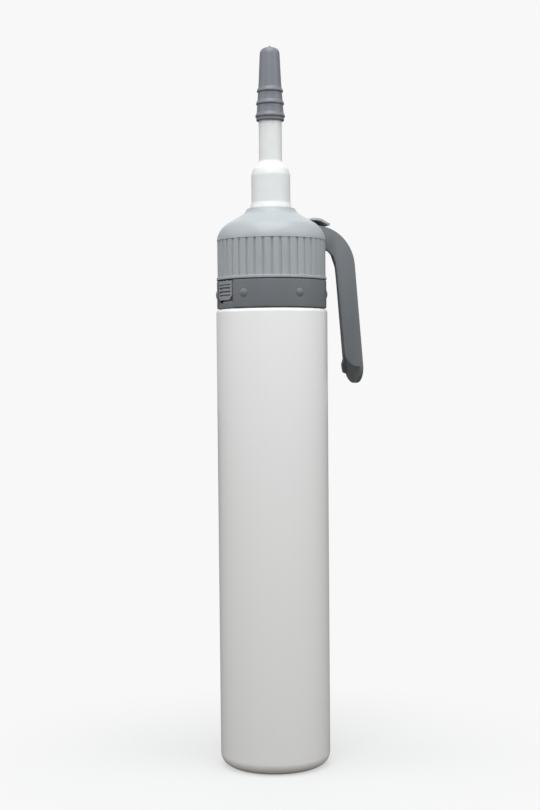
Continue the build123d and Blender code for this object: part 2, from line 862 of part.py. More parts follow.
print(f"total height {cap_top_z + nib_height:.2f} mm")
print(f"fulcrum x {-fulcrum_offset:.2f} z {fulcrum_z:.2f}, stem travel {stem_travel:.3f} mm")
print(f"spring seat z {spring_seat_z:.2f}, slider travel {slider_travel:.2f} mm")
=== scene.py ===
"""Studio scene of a self-dispensing caulk can with a side lever, a stepped nozzle and a tip cap.

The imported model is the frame: levels and places are read from it. Sizes in this file are in
millimetres, and meshes are made in metres.
"""

import json
import logging
from dataclasses import dataclass
from enum import Enum
from math import asin, atan2, ceil, cos, degrees, hypot, pi, radians, sin, sqrt, tan
from typing import ClassVar

import bmesh
import bpy
from mathutils import Matrix, Quaternion, Vector


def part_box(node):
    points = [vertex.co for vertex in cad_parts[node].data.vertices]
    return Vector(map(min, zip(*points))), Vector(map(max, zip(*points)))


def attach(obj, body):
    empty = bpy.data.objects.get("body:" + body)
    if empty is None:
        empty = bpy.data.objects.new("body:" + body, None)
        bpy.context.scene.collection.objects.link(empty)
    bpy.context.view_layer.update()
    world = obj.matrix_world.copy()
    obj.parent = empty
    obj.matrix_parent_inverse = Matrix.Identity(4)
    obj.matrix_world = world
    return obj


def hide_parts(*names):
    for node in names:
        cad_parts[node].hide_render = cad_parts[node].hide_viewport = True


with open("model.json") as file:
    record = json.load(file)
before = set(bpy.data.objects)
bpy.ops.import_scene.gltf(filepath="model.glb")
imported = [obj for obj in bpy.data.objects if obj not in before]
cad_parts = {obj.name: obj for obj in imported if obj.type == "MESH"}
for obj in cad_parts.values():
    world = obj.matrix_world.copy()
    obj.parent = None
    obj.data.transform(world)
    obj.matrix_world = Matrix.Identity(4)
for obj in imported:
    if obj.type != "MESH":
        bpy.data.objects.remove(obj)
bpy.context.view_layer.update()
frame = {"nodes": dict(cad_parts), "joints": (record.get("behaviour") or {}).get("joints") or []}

MM = 0.001
log = logging.getLogger("caulk_can")


class Body(str, Enum):
    """The moving bodies that pieces ride on."""

    ROOT = "root"
    SLIDER = "slider"
    DOME = "dome"
    LEVER = "lever"
    STEM = "stem"
    CAP = "cap"


class Slot(str, Enum):
    """The record's material slots."""

    LACQUER = "can_lacquer"
    RUBBER = "gasket_rubber"
    TINPLATE = "cup_tinplate"
    VALVE = "valve_plastic"
    SPRING = "spring_steel"
    DARK_GREY = "dark_grey_plastic"
    SLIDER_GREY = "slider_grey_plastic"
    LIGHT_GREY = "light_grey_plastic"
    WHITE = "white_plastic"
    CAP_GREY = "cap_grey_plastic"


# Node trees -----------------------------------------------------------------------------------


class NodeBook:
    """Short calls that add and join the nodes of one tree."""

    def __init__(self, tree: bpy.types.NodeTree) -> None:
        """Keeps the tree that the nodes go into.

        Args:
            tree: a shader, world or geometry tree.
        """
        self.tree = tree

    def add(self, kind: str, inputs: dict | None = None, **settings) -> bpy.types.Node:
        """Adds a node and fills its sockets.

        Args:
            kind: the node's type name.
            inputs: socket names or numbers with the values or the output sockets that feed them.
            **settings: the node's own properties.

        Returns:
            The new node.
        """
        node = self.tree.nodes.new(kind)
        for key, value in settings.items():
            setattr(node, key, value)
        for key, value in (inputs or {}).items():
            if isinstance(value, bpy.types.NodeSocket):
                self.tree.links.new(value, node.inputs[key])
            else:
                node.inputs[key].default_value = value
        return node

    def maths(self, operation: str, *terms) -> bpy.types.NodeSocket:
        """Adds a Math node.

        Args:
            operation: the operation's name.
            *terms: one to three numbers or sockets.

        Returns:
            The result's socket.
        """
        kind = "ShaderNodeMath"
        return self.add(kind, dict(enumerate(terms)), operation=operation).outputs[0]


class ShapeRule(NodeBook):
    """A Geometry Nodes tree with named inputs, applied to a piece as plain mesh."""

    def __init__(self, name: str) -> None:
        """Starts a tree with a geometry input.

        Args:
            name: the tree's name.
        """
        super().__init__(bpy.data.node_groups.new(name, "GeometryNodeTree"))
        for side in ("INPUT", "OUTPUT"):
            self.tree.interface.new_socket("Geometry", in_out=side, socket_type="NodeSocketGeometry")
        self.start = self.tree.nodes.new("NodeGroupInput")
        self.end = self.tree.nodes.new("NodeGroupOutput")

    def size(self, name: str, kind: str = "NodeSocketFloat") -> bpy.types.NodeSocket:
        """Adds a named input.

        Args:
            name: the input's name.
            kind: the socket's type.

        Returns:
            The socket that carries it inside the tree.
        """
        self.tree.interface.new_socket(name, in_out="INPUT", socket_type=kind)
        return self.start.outputs[name]

    def close(self, geometry: bpy.types.NodeSocket) -> None:
        """Ends the tree in Realize Instances and Set Material.

        Args:
            geometry: the socket with the finished shape.
        """
        material = self.size("Material", "NodeSocketMaterial")
        real = self.add("GeometryNodeRealizeInstances", {"Geometry": geometry})
        dressed = self.add("GeometryNodeSetMaterial", {"Geometry": real.outputs[0], "Material": material})
        self.tree.links.new(dressed.outputs[0], self.end.inputs[0])

    def apply(self, piece: bpy.types.Object, **sizes) -> bpy.types.Object:
        """Runs the tree on a piece and keeps the result as its mesh.

        Args:
            piece: the object whose mesh the tree works on.
            **sizes: a value for each named input, with _ for a space.

        Returns:
            The same piece.
        """
        modifier = piece.modifiers.new(self.tree.name, "NODES")
        modifier.node_group = self.tree
        values = {key.replace("_", " "): value for key, value in sizes.items()}
        for item in self.tree.interface.items_tree:
            if item.in_out == "INPUT" and item.name in values:
                modifier[item.identifier] = values[item.name]
        return baked(piece)


# Finishes -------------------------------------------------------------------------------------


class Paint(NodeBook):
    """A material whose shader is fed by patterns on Object coordinates."""

    def __init__(self, name: str) -> None:
        """Makes the material and its shader.

        Args:
            name: the material's name.
        """
        self.material = bpy.data.materials.new(name)
        self.material.use_nodes = True
        super().__init__(self.material.node_tree)
        self.shader = self.tree.nodes["Principled BSDF"]
        self.place = self.add("ShaderNodeTexCoord").outputs["Object"]

    def noise(self, grain: float, detail: float = 3.0, stretch: tuple = (1, 1, 1)) -> bpy.types.NodeSocket:
        """Adds a noise pattern.

        Args:
            grain: the pattern's size in millimetres.
            detail: how many finer layers it has.
            stretch: how much finer it is along each axis.

        Returns:
            The pattern's value socket, from 0 to 1.
        """
        mapped = self.add("ShaderNodeMapping", {"Vector": self.place, "Scale": stretch}).outputs[0]
        sockets = {"Vector": mapped, "Scale": 1 / (grain * MM), "Detail": detail}
        return self.add("ShaderNodeTexNoise", sockets).outputs["Fac"]

    def between(self, value: bpy.types.NodeSocket, low: float, high: float) -> bpy.types.NodeSocket:
        """Spreads a pattern over a range.

        Args:
            value: the pattern.
            low: the result where the pattern is low.
            high: the result where the pattern is high.

        Returns:
            The spread value's socket.
        """
        sockets = {"Value": value, "From Min": 0.0, "From Max": 1.0, "To Min": low, "To Max": high}
        return self.add("ShaderNodeMapRange", sockets).outputs["Result"]

    def tinted(self, colour: tuple, share: float, value: bpy.types.NodeSocket) -> None:
        """Gives the shader a base colour that a pattern makes a little lighter and darker.

        Args:
            colour: the middle colour.
            share: how far it goes each way, as a share of the colour.
            value: the pattern.
        """
        ramp = self.add("ShaderNodeValToRGB", {"Fac": value})
        for stop, place, gain in zip(ramp.color_ramp.elements, (0.0, 1.0), (1 - share, 1 + share)):
            stop.position = place
            stop.color = (*(min(1.0, part * gain) for part in colour), 1)
        self.tree.links.new(ramp.outputs["Color"], self.shader.inputs["Base Color"])

    def rough(self, roughness: float, spread: float, value: bpy.types.NodeSocket) -> None:
        """Gives the shader a roughness that varies with a pattern.

        Args:
            roughness: the middle roughness.
            spread: how far it goes each way.
            value: the pattern.
        """
        varied = self.between(value, roughness - spread, roughness + spread)
        self.tree.links.new(varied, self.shader.inputs["Roughness"])

    def relief(self, depths: list) -> None:
        """Gives the shader a fine relief.

        Args:
            depths: pairs of a pattern and its depth in millimetres.
        """
        normal = None
        for value, depth in depths:
            sockets = {"Height": value, "Distance": depth * MM, "Strength": 1.0}
            if normal:
                sockets["Normal"] = normal
            normal = self.add("ShaderNodeBump", sockets).outputs[0]
        self.tree.links.new(normal, self.shader.inputs["Normal"])

    def fixed(self, **values) -> None:
        """Sets the shader's own sockets, with _ for a space in a name."""
        for key, value in values.items():
            self.shader.inputs[key.replace("_", " ")].default_value = value


@dataclass(frozen=True)
class MouldedPlastic:
    """Injection-moulded plastic with a fine eroded texture and slight flow marks."""

    name: str
    colour: tuple
    roughness: float = 0.42
    texture_grain: float = 0.35
    texture_depth: float = 0.012
    flow_depth: float = 0.05
    cloud_share: float = 0.05
    translucence: float = 0.0

    def build(self) -> bpy.types.Material:
        """Builds the finish.

        Returns:
            The material.
        """
        paint = Paint(self.name)
        flow = paint.noise(16.0, 2.0, (1.0, 1.0, 0.45))
        clouds = paint.noise(5.0, 4.0)
        paint.tinted(self.colour, self.cloud_share, clouds)
        paint.rough(self.roughness, 0.06, flow)
        texture = paint.noise(self.texture_grain, 2.0)
        paint.relief([(flow, self.flow_depth), (texture, self.texture_depth)])
        paint.fixed(Specular_IOR_Level=0.45, IOR=1.5)
        if self.translucence:
            paint.fixed(Subsurface_Weight=self.translucence, Subsurface_Scale=2.0 * MM)
            paint.shader.inputs["Subsurface Radius"].default_value = (1.0, 0.95, 0.9)
        return paint.material


@dataclass(frozen=True)
class CanLacquer:
    """White stoved lacquer over drawn metal, with bare metal under the base ring."""

    name: str
    colour: tuple = (0.86, 0.865, 0.86)
    metal: tuple = (0.62, 0.62, 0.61)
    roughness: float = 0.3
    base_edge: float = 0.35

    def build(self) -> bpy.types.Material:
        """Builds the finish.

        Returns:
            The material.
        """
        paint = Paint(self.name)
        drawn = paint.noise(2.0, 3.0, (1.0, 1.0, 0.05))
        peel = paint.noise(1.1, 1.0)
        clouds = paint.noise(38.0, 3.0, (1.0, 1.0, 0.4))
        paint.tinted(self.colour, 0.02, clouds)
        lacquer_colour = paint.shader.inputs["Base Color"].links[0].from_socket
        height = paint.add("ShaderNodeSeparateXYZ", {"Vector": paint.place}).outputs["Z"]
        edge = self.base_edge * MM
        bare = paint.add(
            "ShaderNodeMapRange",
            {"Value": height, "From Min": edge, "From Max": edge * 1.4, "To Min": 1.0, "To Max": 0.0},
        ).outputs["Result"]
        mix = paint.add("ShaderNodeMix", {"Factor": bare}, data_type="RGBA")
        paint.tree.links.new(lacquer_colour, mix.inputs[6])
        mix.inputs[7].default_value = (*self.metal, 1)
        paint.tree.links.new(mix.outputs[2], paint.shader.inputs["Base Color"])
        paint.tree.links.new(bare, paint.shader.inputs["Metallic"])
        paint.rough(self.roughness, 0.05, clouds)
        paint.relief([(drawn, 0.006), (peel, 0.004)])
        paint.fixed(Coat_Weight=0.25, Coat_Roughness=0.12, IOR=1.5)
        return paint.material


@dataclass(frozen=True)
class BareMetal:
    """Bright metal with marks that run one way, for sheet and for drawn wire."""

    name: str
    colour: tuple
    roughness: float
    stretch: tuple
    grain: float = 0.6

    def build(self) -> bpy.types.Material:
        """Builds the finish.

        Returns:
            The material.
        """
        paint = Paint(self.name)
        marks = paint.noise(self.grain, 4.0, self.stretch)
        spots = paint.noise(3.0, 3.0)
        paint.tinted(self.colour, 0.08, spots)
        paint.rough(self.roughness, 0.08, marks)
        paint.relief([(marks, 0.006)])
        paint.fixed(Metallic=1.0)
        return paint.material


@dataclass(frozen=True)
class Rubber:
    """Matt black gasket rubber with a dusty bloom."""

    name: str
    colour: tuple = (0.025, 0.025, 0.027)

    def build(self) -> bpy.types.Material:
        """Builds the finish.

        Returns:
            The material.
        """
        paint = Paint(self.name)
        bloom = paint.noise(1.5, 5.0)
        paint.tinted(self.colour, 0.35, bloom)
        paint.rough(0.8, 0.08, bloom)
        paint.relief([(paint.noise(0.2, 2.0), 0.01)])
        paint.fixed(Specular_IOR_Level=0.3)
        return paint.material


# Shapes ---------------------------------------------------------------------------------------


def rounded(corners: list, steps: int = 10) -> list:
    """Rounds off the corners of a closed outline.

    Args:
        corners: points (x, z) or (x, z, radius).
        steps: how many straight pieces a right-angled turn gets.

    Returns:
        The outline's points (x, z).
    """
    points = []
    for index, corner in enumerate(corners):
        here = Vector(corner[:2])
        radius = corner[2] if len(corner) > 2 else 0.0
        before = (Vector(corners[index - 1][:2]) - here).normalized()
        after = (Vector(corners[(index + 1) % len(corners)][:2]) - here).normalized()
        half = before.angle(after) / 2
        if radius == 0 or half > 1.56:
            points.append(tuple(here))
            continue
        centre = here + (before + after).normalized() * (radius / sin(half))
        first = here + before * (radius / tan(half)) - centre
        last = here + after * (radius / tan(half)) - centre
        begin = atan2(first.y, first.x)
        sweep = (atan2(last.y, last.x) - begin + pi) % (2 * pi) - pi
        count = max(2, ceil(steps * abs(sweep) / (pi / 2)))
        for step in range(count + 1):
            angle = begin + sweep * step / count
            points.append((centre.x + radius * cos(angle), centre.y + radius * sin(angle)))
    return points


def below(points: list, top: float) -> list:
    """Cuts a closed outline off at a level.

    Args:
        points: the outline's points (x, z).
        top: the level.

    Returns:
        The outline's part that lies below.
    """
    kept = []
    for index, here in enumerate(points):
        last = points[index - 1]
        if (last[1] - top) * (here[1] - top) < 0:
            share = (top - last[1]) / (here[1] - last[1])
            kept.append((last[0] + (here[0] - last[0]) * share, top))
        if here[1] <= top:
            kept.append(here)
    return kept


def refined(points: list, low: float, high: float, step: float) -> list:
    """Adds points along the stretches of an outline that cross a band.

    Args:
        points: the outline's points (x, z).
        low: the band's lower level.
        high: the band's upper level.
        step: the largest distance between points there.

    Returns:
        The outline with the added points.
    """
    result = []
    for index, here in enumerate(points):
        after = points[(index + 1) % len(points)]
        result.append(here)
        if max(here[1], after[1]) > low + 1e-6 and min(here[1], after[1]) < high - 1e-6:
            count = ceil(hypot(after[0] - here[0], after[1] - here[1]) / step)
            for part in range(1, count):
                share = part / count
                x, z = (here[axis] + (after[axis] - here[axis]) * share for axis in (0, 1))
                result.append((x, z))
    return result


def from_points(name: str, points: list, faces: list) -> bpy.types.Object:
    """Makes a closed mesh object with its faces outwards.

    Args:
        name: the object's name.
        points: its points in millimetres.
        faces: the faces, as lists of point numbers.

    Returns:
        The object, linked to the scene.
    """
    mesh = bpy.data.meshes.new(name)
    mesh.from_pydata([Vector(point) * MM for point in points], [], faces)
    work = bmesh.new()
    work.from_mesh(mesh)
    bmesh.ops.remove_doubles(work, verts=work.verts, dist=1e-4 * MM)
    bmesh.ops.recalc_face_normals(work, faces=work.faces)
    work.to_mesh(mesh)
    work.free()
    piece = bpy.data.objects.new(name, mesh)
    bpy.context.scene.collection.objects.link(piece)
    return piece


def lathe(name: str, outline: list, segments: int = 144) -> bpy.types.Object:
    """Turns a closed outline about Z.

    Args:
        name: the object's name.
        outline: points (radius, height) in millimetres.
        segments: how many steps the turn has.

    Returns:
        The object.
    """
    turns = [(cos(2 * pi * step / segments), sin(2 * pi * step / segments)) for step in range(segments)]
    points = [(radius * x, radius * y, z) for radius, z in outline for x, y in turns]
    faces = []
    for row, (radius, _) in enumerate(outline):
        after = (row + 1) % len(outline)
        if max(radius, outline[after][0]) < 1e-6:
            continue
        for step in range(segments):
            beside = (step + 1) % segments
            ring = [row * segments + step, row * segments + beside]
            ring += [after * segments + beside, after * segments + step]
            faces.append(ring)
    return from_points(name, points, faces)


def prism(name: str, outline: list, low: float, high: float) -> bpy.types.Object:
    """Gives an outline in the XZ plane a thickness along Y.

    Args:
        name: the object's name.
        outline: points (x, z) in millimetres.
        low: the lower Y.
        high: the upper Y.

    Returns:
        The object.
    """
    count = len(outline)
    points = [(x, low, z) for x, z in outline] + [(x, high, z) for x, z in outline]
    faces = [list(range(count)), list(range(count, 2 * count))]
    for index in range(count):
        beside = (index + 1) % count
        faces.append([index, beside, beside + count, index + count])
    return from_points(name, points, faces)


def block(name: str, x: tuple, y: tuple, z: tuple) -> bpy.types.Object:
    """A box from its limits (low, high) along each axis."""
    corners = [(x[0], z[0]), (x[1], z[0]), (x[1], z[1]), (x[0], z[1])]
    return prism(name, corners, *y)


def pin(name: str, radius: float, x: float, z: float, reach: float, steps: int = 32) -> bpy.types.Object:
    """A round pin along Y, as long each way as its reach."""
    turns = [2 * pi * step / steps for step in range(steps)]
    return prism(name, [(x + radius * cos(turn), z + radius * sin(turn)) for turn in turns], -reach, reach)


def baked(piece: bpy.types.Object) -> bpy.types.Object:
    """Turns the result of a piece's modifiers into its own plain mesh.

    Args:
        piece: the object with modifiers.

    Returns:
        The same piece, without modifiers.
    """
    graph = bpy.context.evaluated_depsgraph_get()
    mesh = bpy.data.meshes.new_from_object(piece.evaluated_get(graph))
    piece.modifiers.clear()
    piece.data = mesh
    return piece


def combined(piece: bpy.types.Object, other: bpy.types.Object, operation: str) -> bpy.types.Object:
    """Joins, cuts or intersects a piece with another, which is used up.

    Args:
        piece: the piece that stays.
        other: the tool piece.
        operation: UNION, DIFFERENCE or INTERSECT.

    Returns:
        The changed piece.
    """
    modifier = piece.modifiers.new("Shape", "BOOLEAN")
    modifier.operation = operation
    modifier.object = other
    modifier.solver = "EXACT"
    baked(piece)
    bpy.data.objects.remove(other)
    return piece


def softened(
    piece: bpy.types.Object, width: float, angle: float = 32.0, segments: int = 3
) -> bpy.types.Object:
    """Rounds the sharp edges of a piece.

    Args:
        piece: the piece.
        width: the rounding's width in millimetres.
        angle: the least angle in degrees at which an edge is sharp.
        segments: the rounding's steps.

    Returns:
        The changed piece.
    """
    work = bmesh.new()
    work.from_mesh(piece.data)
    bmesh.ops.remove_doubles(work, verts=work.verts, dist=0.02 * MM)
    bmesh.ops.dissolve_limit(work, angle_limit=radians(0.5), verts=work.verts, edges=work.edges)
    work.to_mesh(piece.data)
    work.free()
    modifier = piece.modifiers.new("Round", "BEVEL")
    modifier.width = width * MM
    modifier.segments = segments
    modifier.limit_method = "ANGLE"
    modifier.angle_limit = radians(angle)
    modifier.miter_outer = "MITER_ARC"
    modifier.use_clamp_overlap = True
    return baked(piece)


def dressed(
    piece: bpy.types.Object,
    material: bpy.types.Material,
    slot: Slot,
    body: Body,
    *nodes: str,
    crease: float = 28.0,
) -> bpy.types.Object:
    """Finishes a piece: shading, material, body and the nodes it stands for.

    Args:
        piece: the finished mesh.
        material: its material.
        slot: the record's material slot; not used.
        body: the body it rides on.
        *nodes: the model's nodes that it replaces.
        crease: the angle in degrees past which an edge looks sharp.

    Returns:
        The piece.
    """
    mesh = piece.data
    mesh.materials.clear()
    mesh.materials.append(material)
    mesh.shade_smooth()
    mesh.set_sharp_from_angle(angle=radians(crease))
    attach(piece, body.value)
    if nodes:
        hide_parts(*nodes)
    log.info("%s: %d faces on %s", piece.name, len(mesh.polygons), body.value)
    return piece


def box_mm(node: str) -> tuple:
    """The lowest and highest corner of a node at rest, in millimetres."""
    low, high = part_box(node)
    return low / MM, high / MM


def joint_point(name: str) -> Vector:
    """The point on a joint's axis, in millimetres."""
    joint = next(joint for joint in frame["joints"] if joint["name"] == name)
    return Vector(joint["pos_m"]) / MM


def sliced(piece: bpy.types.Object, step: float) -> bpy.types.Object:
    """Cuts a piece's faces along X at even steps, so that it can be bent.

    Args:
        piece: the piece.
        step: the distance between the cuts in millimetres.

    Returns:
        The same piece.
    """
    work = bmesh.new()
    work.from_mesh(piece.data)
    xs = [vert.co.x for vert in work.verts]
    count = ceil((max(xs) - min(xs)) / (step * MM))
    for index in range(1, count):
        place = min(xs) + (max(xs) - min(xs)) * index / count
        parts = work.verts[:] + work.edges[:] + work.faces[:]
        bmesh.ops.bisect_plane(work, geom=parts, dist=1e-3 * MM, plane_co=(place, 0, 0), plane_no=(1, 0, 0))
    work.to_mesh(piece.data)
    work.free()
    return piece


# The can --------------------------------------------------------------------------------------


@dataclass
class CanBody:
    """The drawn can: dished base, straight wall, shoulder, neck and the curled mouth."""

    lacquer: bpy.types.Material
    base_round: float = 5.0
    base_rim_inset: float = 7.0
    dish_depth: float = 5.0
    dish_steps: int = 12
    shoulder_round: float = 1.5
    neck_step: float = 2.4
    neck_height: float = 5.3
    snap_groove: float = 0.5
    throat_radius: float = 14.2
    throat_rise: float = 13.3
    curl_radii: tuple = (12.7, 15.6)
    curl_height: float = 2.9
    curl_round: float = 1.2
    cup_pocket: tuple = (6.6, 7.7, -6.0)

    def dish(self, rim: float) -> list:
        """The concave base's points from the axis out to the rim.

        Args:
            rim: the rim's radius in millimetres.

        Returns:
            The points (radius, height).
        """
        ball = (rim**2 + self.dish_depth**2) / (2 * self.dish_depth)
        spread = asin(rim / ball)
        points = []
        for step in range(self.dish_steps + 1):
            angle = spread * step / self.dish_steps
            points.append((ball * sin(angle), self.dish_depth - ball * (1 - cos(angle))))
        return points

    def outline(self) -> list:
        """The can's closed section.

        Returns:
            Its points (radius, height), with the corners rounded.
        """
        low, high = box_mm("can")
        radius = (high.x - low.x) / 2
        land = box_mm("collar_ring")[0].z
        neck = radius - self.neck_step
        groove_z = land + 0.55 * self.neck_height
        curl_z = high.z - self.curl_height
        inner, outer = self.curl_radii
        pocket_radius, cup_rise, pocket_rise = self.cup_pocket
        corners = self.dish(radius - self.base_rim_inset) + [
            (radius, 0, self.base_round),
            (radius, land, self.shoulder_round),
            (neck, land, 0.3),
            (neck, groove_z),
            (neck - self.snap_groove, groove_z + 0.35),
            (neck - self.snap_groove, groove_z + 1.05),
            (neck, groove_z + 1.4),
            (neck, land + self.neck_height, 1.5),
            (self.throat_radius, land + self.throat_rise, 1.5),
            (self.throat_radius, curl_z),
            (outer, curl_z, self.curl_round),
            (outer, high.z, self.curl_round),
            (inner, high.z, self.curl_round),
            (inner, land + cup_rise),
            (pocket_radius, land + cup_rise),
            (pocket_radius, land + pocket_rise),
            (0, land + pocket_rise),
        ]
        return rounded(corners, 14)

    def build(self) -> bpy.types.Object:
        """Returns the finished can."""
        piece = lathe("can_shell", self.outline(), 192)
        return dressed(piece, self.lacquer, Slot.LACQUER, Body.ROOT, "can")


# Collar ring and slider -----------------------------------------------------------------------


@dataclass
class CollarRing:
    """The dark ring snapped on the can's neck, with its grip studs and the slider's window."""

    plastic: bpy.types.Material
    height: float = 11.3
    edge_round: float = 0.35
    shadow_gap: float = 0.3
    bore: float = 20.2
    spigot_radius: float = 19.2
    spigot_wall: float = 1.0
    spigot_height: float = 5.9
    bead: tuple = (0.55, 1.2)
    radius: float = 22.15
    stud_count: int = 6
    stud_first: float = 37.0
    stud_width: float = 3.5
    stud_height: float = 0.45
    stud_level: float = 5.9
    stud_root: float = 0.6
    stud_steps: int = 8
    panel_width: float = 12.9
    panel_depth: float = 0.35
    slider_angle: ClassVar[float] = 7.0
    window_half: float = 5.75
    window_level: float = 2.2
    pocket_half: float = 7.1
    pocket_radius: float = 21.0
    post_width: float = 1.4
    post_height: float = 2.2
    turn_range: float = 60.0

    def ring(self, land: float) -> bpy.types.Object:
        """The turned ring with its spigot and snap bead.

        Args:
            land: the level of the ring's foot in millimetres.

        Returns:
            The ring.
        """
        top = land + self.height
        spigot_top = top + self.spigot_height
        inner = self.spigot_radius - self.spigot_wall
        bead_out, bead_high = self.bead
        corners = [
            (self.bore, land),
            (self.bore + 0.7, land),
            (self.bore + 1.0, land + self.shadow_gap),
            (self.radius, land + self.shadow_gap, self.edge_round),
            (self.radius, top, self.edge_round),
            (self.spigot_radius, top, 0.2),
            (self.spigot_radius, spigot_top - bead_high),
            (self.spigot_radius + bead_out, spigot_top - bead_high * 0.75, 0.15),
            (self.spigot_radius + bead_out, spigot_top - bead_high * 0.25, 0.15),
            (self.spigot_radius, spigot_top),
            (inner, spigot_top),
            (inner, top - 2.0),
            (self.bore, top - 4.2),
        ]
        return lathe("collar", rounded(corners, 8), 168)

    def studs(self, land: float) -> bpy.types.Object:
        """The round grip studs, set round the ring by a rule.

        Args:
            land: the level of the ring's foot in millimetres.

        Returns:
            The studs, as one piece.
        """
        rule = ShapeRule("StudRing")
        count = rule.size("Count", "NodeSocketInt")
        radius = rule.size("Ring Radius")
        first = rule.size("First Angle")
        level = rule.size("Level")
        circle = rule.add("GeometryNodeMeshCircle", {"Vertices": count, "Radius": radius})
        here = rule.add("GeometryNodeInputPosition").outputs[0]
        place = rule.add("ShaderNodeSeparateXYZ", {"Vector": here})
        angle = rule.maths("ARCTAN2", place.outputs["Y"], place.outputs["X"])
        turn = rule.add("ShaderNodeCombineXYZ", {"Z": angle}).outputs[0]
        sockets = {"Points": circle.outputs[0], "Instance": rule.start.outputs[0], "Rotation": turn}
        spread = rule.add("GeometryNodeInstanceOnPoints", sockets)
        lift = rule.add("ShaderNodeCombineXYZ", {"Z": level}).outputs[0]
        whole_turn = rule.add("ShaderNodeCombineXYZ", {"Z": first}).outputs[0]
        sockets = {"Geometry": spread.outputs[0], "Translation": lift, "Rotation": whole_turn}
        rule.close(rule.add("GeometryNodeTransform", sockets).outputs[0])
        half = self.stud_width / 2
        ball = (half**2 + self.stud_height**2) / (2 * self.stud_height)
        reaches = [half * step / self.stud_steps for step in range(self.stud_steps + 1)]
        cap = [(reach, sqrt(ball**2 - reach**2) - ball + self.stud_height) for reach in reaches]
        root = [(half, -self.stud_root), (0, -self.stud_root)]
        stud = lathe("collar_studs", cap + root, 32)
        stud.data.transform(Matrix.Rotation(pi / 2, 4, "Y"))
        return rule.apply(
            stud,
            Count=self.stud_count,
            Ring_Radius=self.radius * MM,
            First_Angle=radians(self.stud_first),
            Level=(land + self.stud_level) * MM,
            Material=self.plastic,
        )

    def stop_post(self, top: float, angle: float) -> bpy.types.Object:
        """One post on the spigot that ends the dome's turn.

        Args:
            top: the level of the ring's top in millimetres.
            angle: the post's place round the ring in degrees.

        Returns:
            The post.
        """
        half = self.post_width / 2
        depth = (self.spigot_radius - self.spigot_wall + 0.05, self.spigot_radius - 0.05)
        post = block("post", depth, (-half, half), (top - 0.5, top + self.post_height))
        post.data.transform(Matrix.Rotation(radians(angle), 4, "Z"))
        return post

    def build(self) -> bpy.types.Object:
        """Returns the finished ring.

        Returns:
            The finished ring.
        """
        land = box_mm("collar_ring")[0].z
        top = land + self.height
        ring = combined(self.ring(land), self.studs(land), "UNION")
        edge = self.radius + 1
        half = self.panel_width / 2
        panel = block("panel", (-edge, 0), (-half, half), (land - 1, top + 1))
        core = lathe("core", [(0, land - 2), (self.radius - self.panel_depth, land - 2),
                              (self.radius - self.panel_depth, top + 2), (0, top + 2)], 168)
        panel = combined(panel, core, "DIFFERENCE")
        turn = Matrix.Rotation(radians(self.slider_angle), 4, "Z")
        panel.data.transform(turn)
        ring = combined(ring, panel, "DIFFERENCE")
        low = land + self.window_level
        window = prism(
            "window",
            rounded([(-self.window_half, low, 1.3), (self.window_half, low, 1.3),
                     (self.window_half, top + 1), (-self.window_half, top + 1)], 5),
            -edge, -self.bore + 0.6,
        )
        window.data.transform(turn @ Matrix.Rotation(-pi / 2, 4, "Z"))
        ring = combined(ring, window, "DIFFERENCE")
        inner = self.bore - 0.1
        ends = [(inner, low), (self.pocket_radius, low), (self.pocket_radius, top + 1), (inner, top + 1)]
        pocket = block("pocket", (-edge, 0), (-self.pocket_half, self.pocket_half), (low - 1, top + 2))
        pocket = combined(lathe("pocket_ring", ends, 168), pocket, "INTERSECT")
        pocket.data.transform(turn)
        ring = combined(ring, pocket, "DIFFERENCE")
        clear = degrees((self.post_width + 0.3) / self.spigot_radius)
        for angle in (180 - clear, 180 + self.turn_range + clear):
            ring = combined(ring, self.stop_post(top + self.spigot_height, angle), "UNION")
        return dressed(ring, self.plastic, Slot.DARK_GREY, Body.ROOT, "collar_ring")


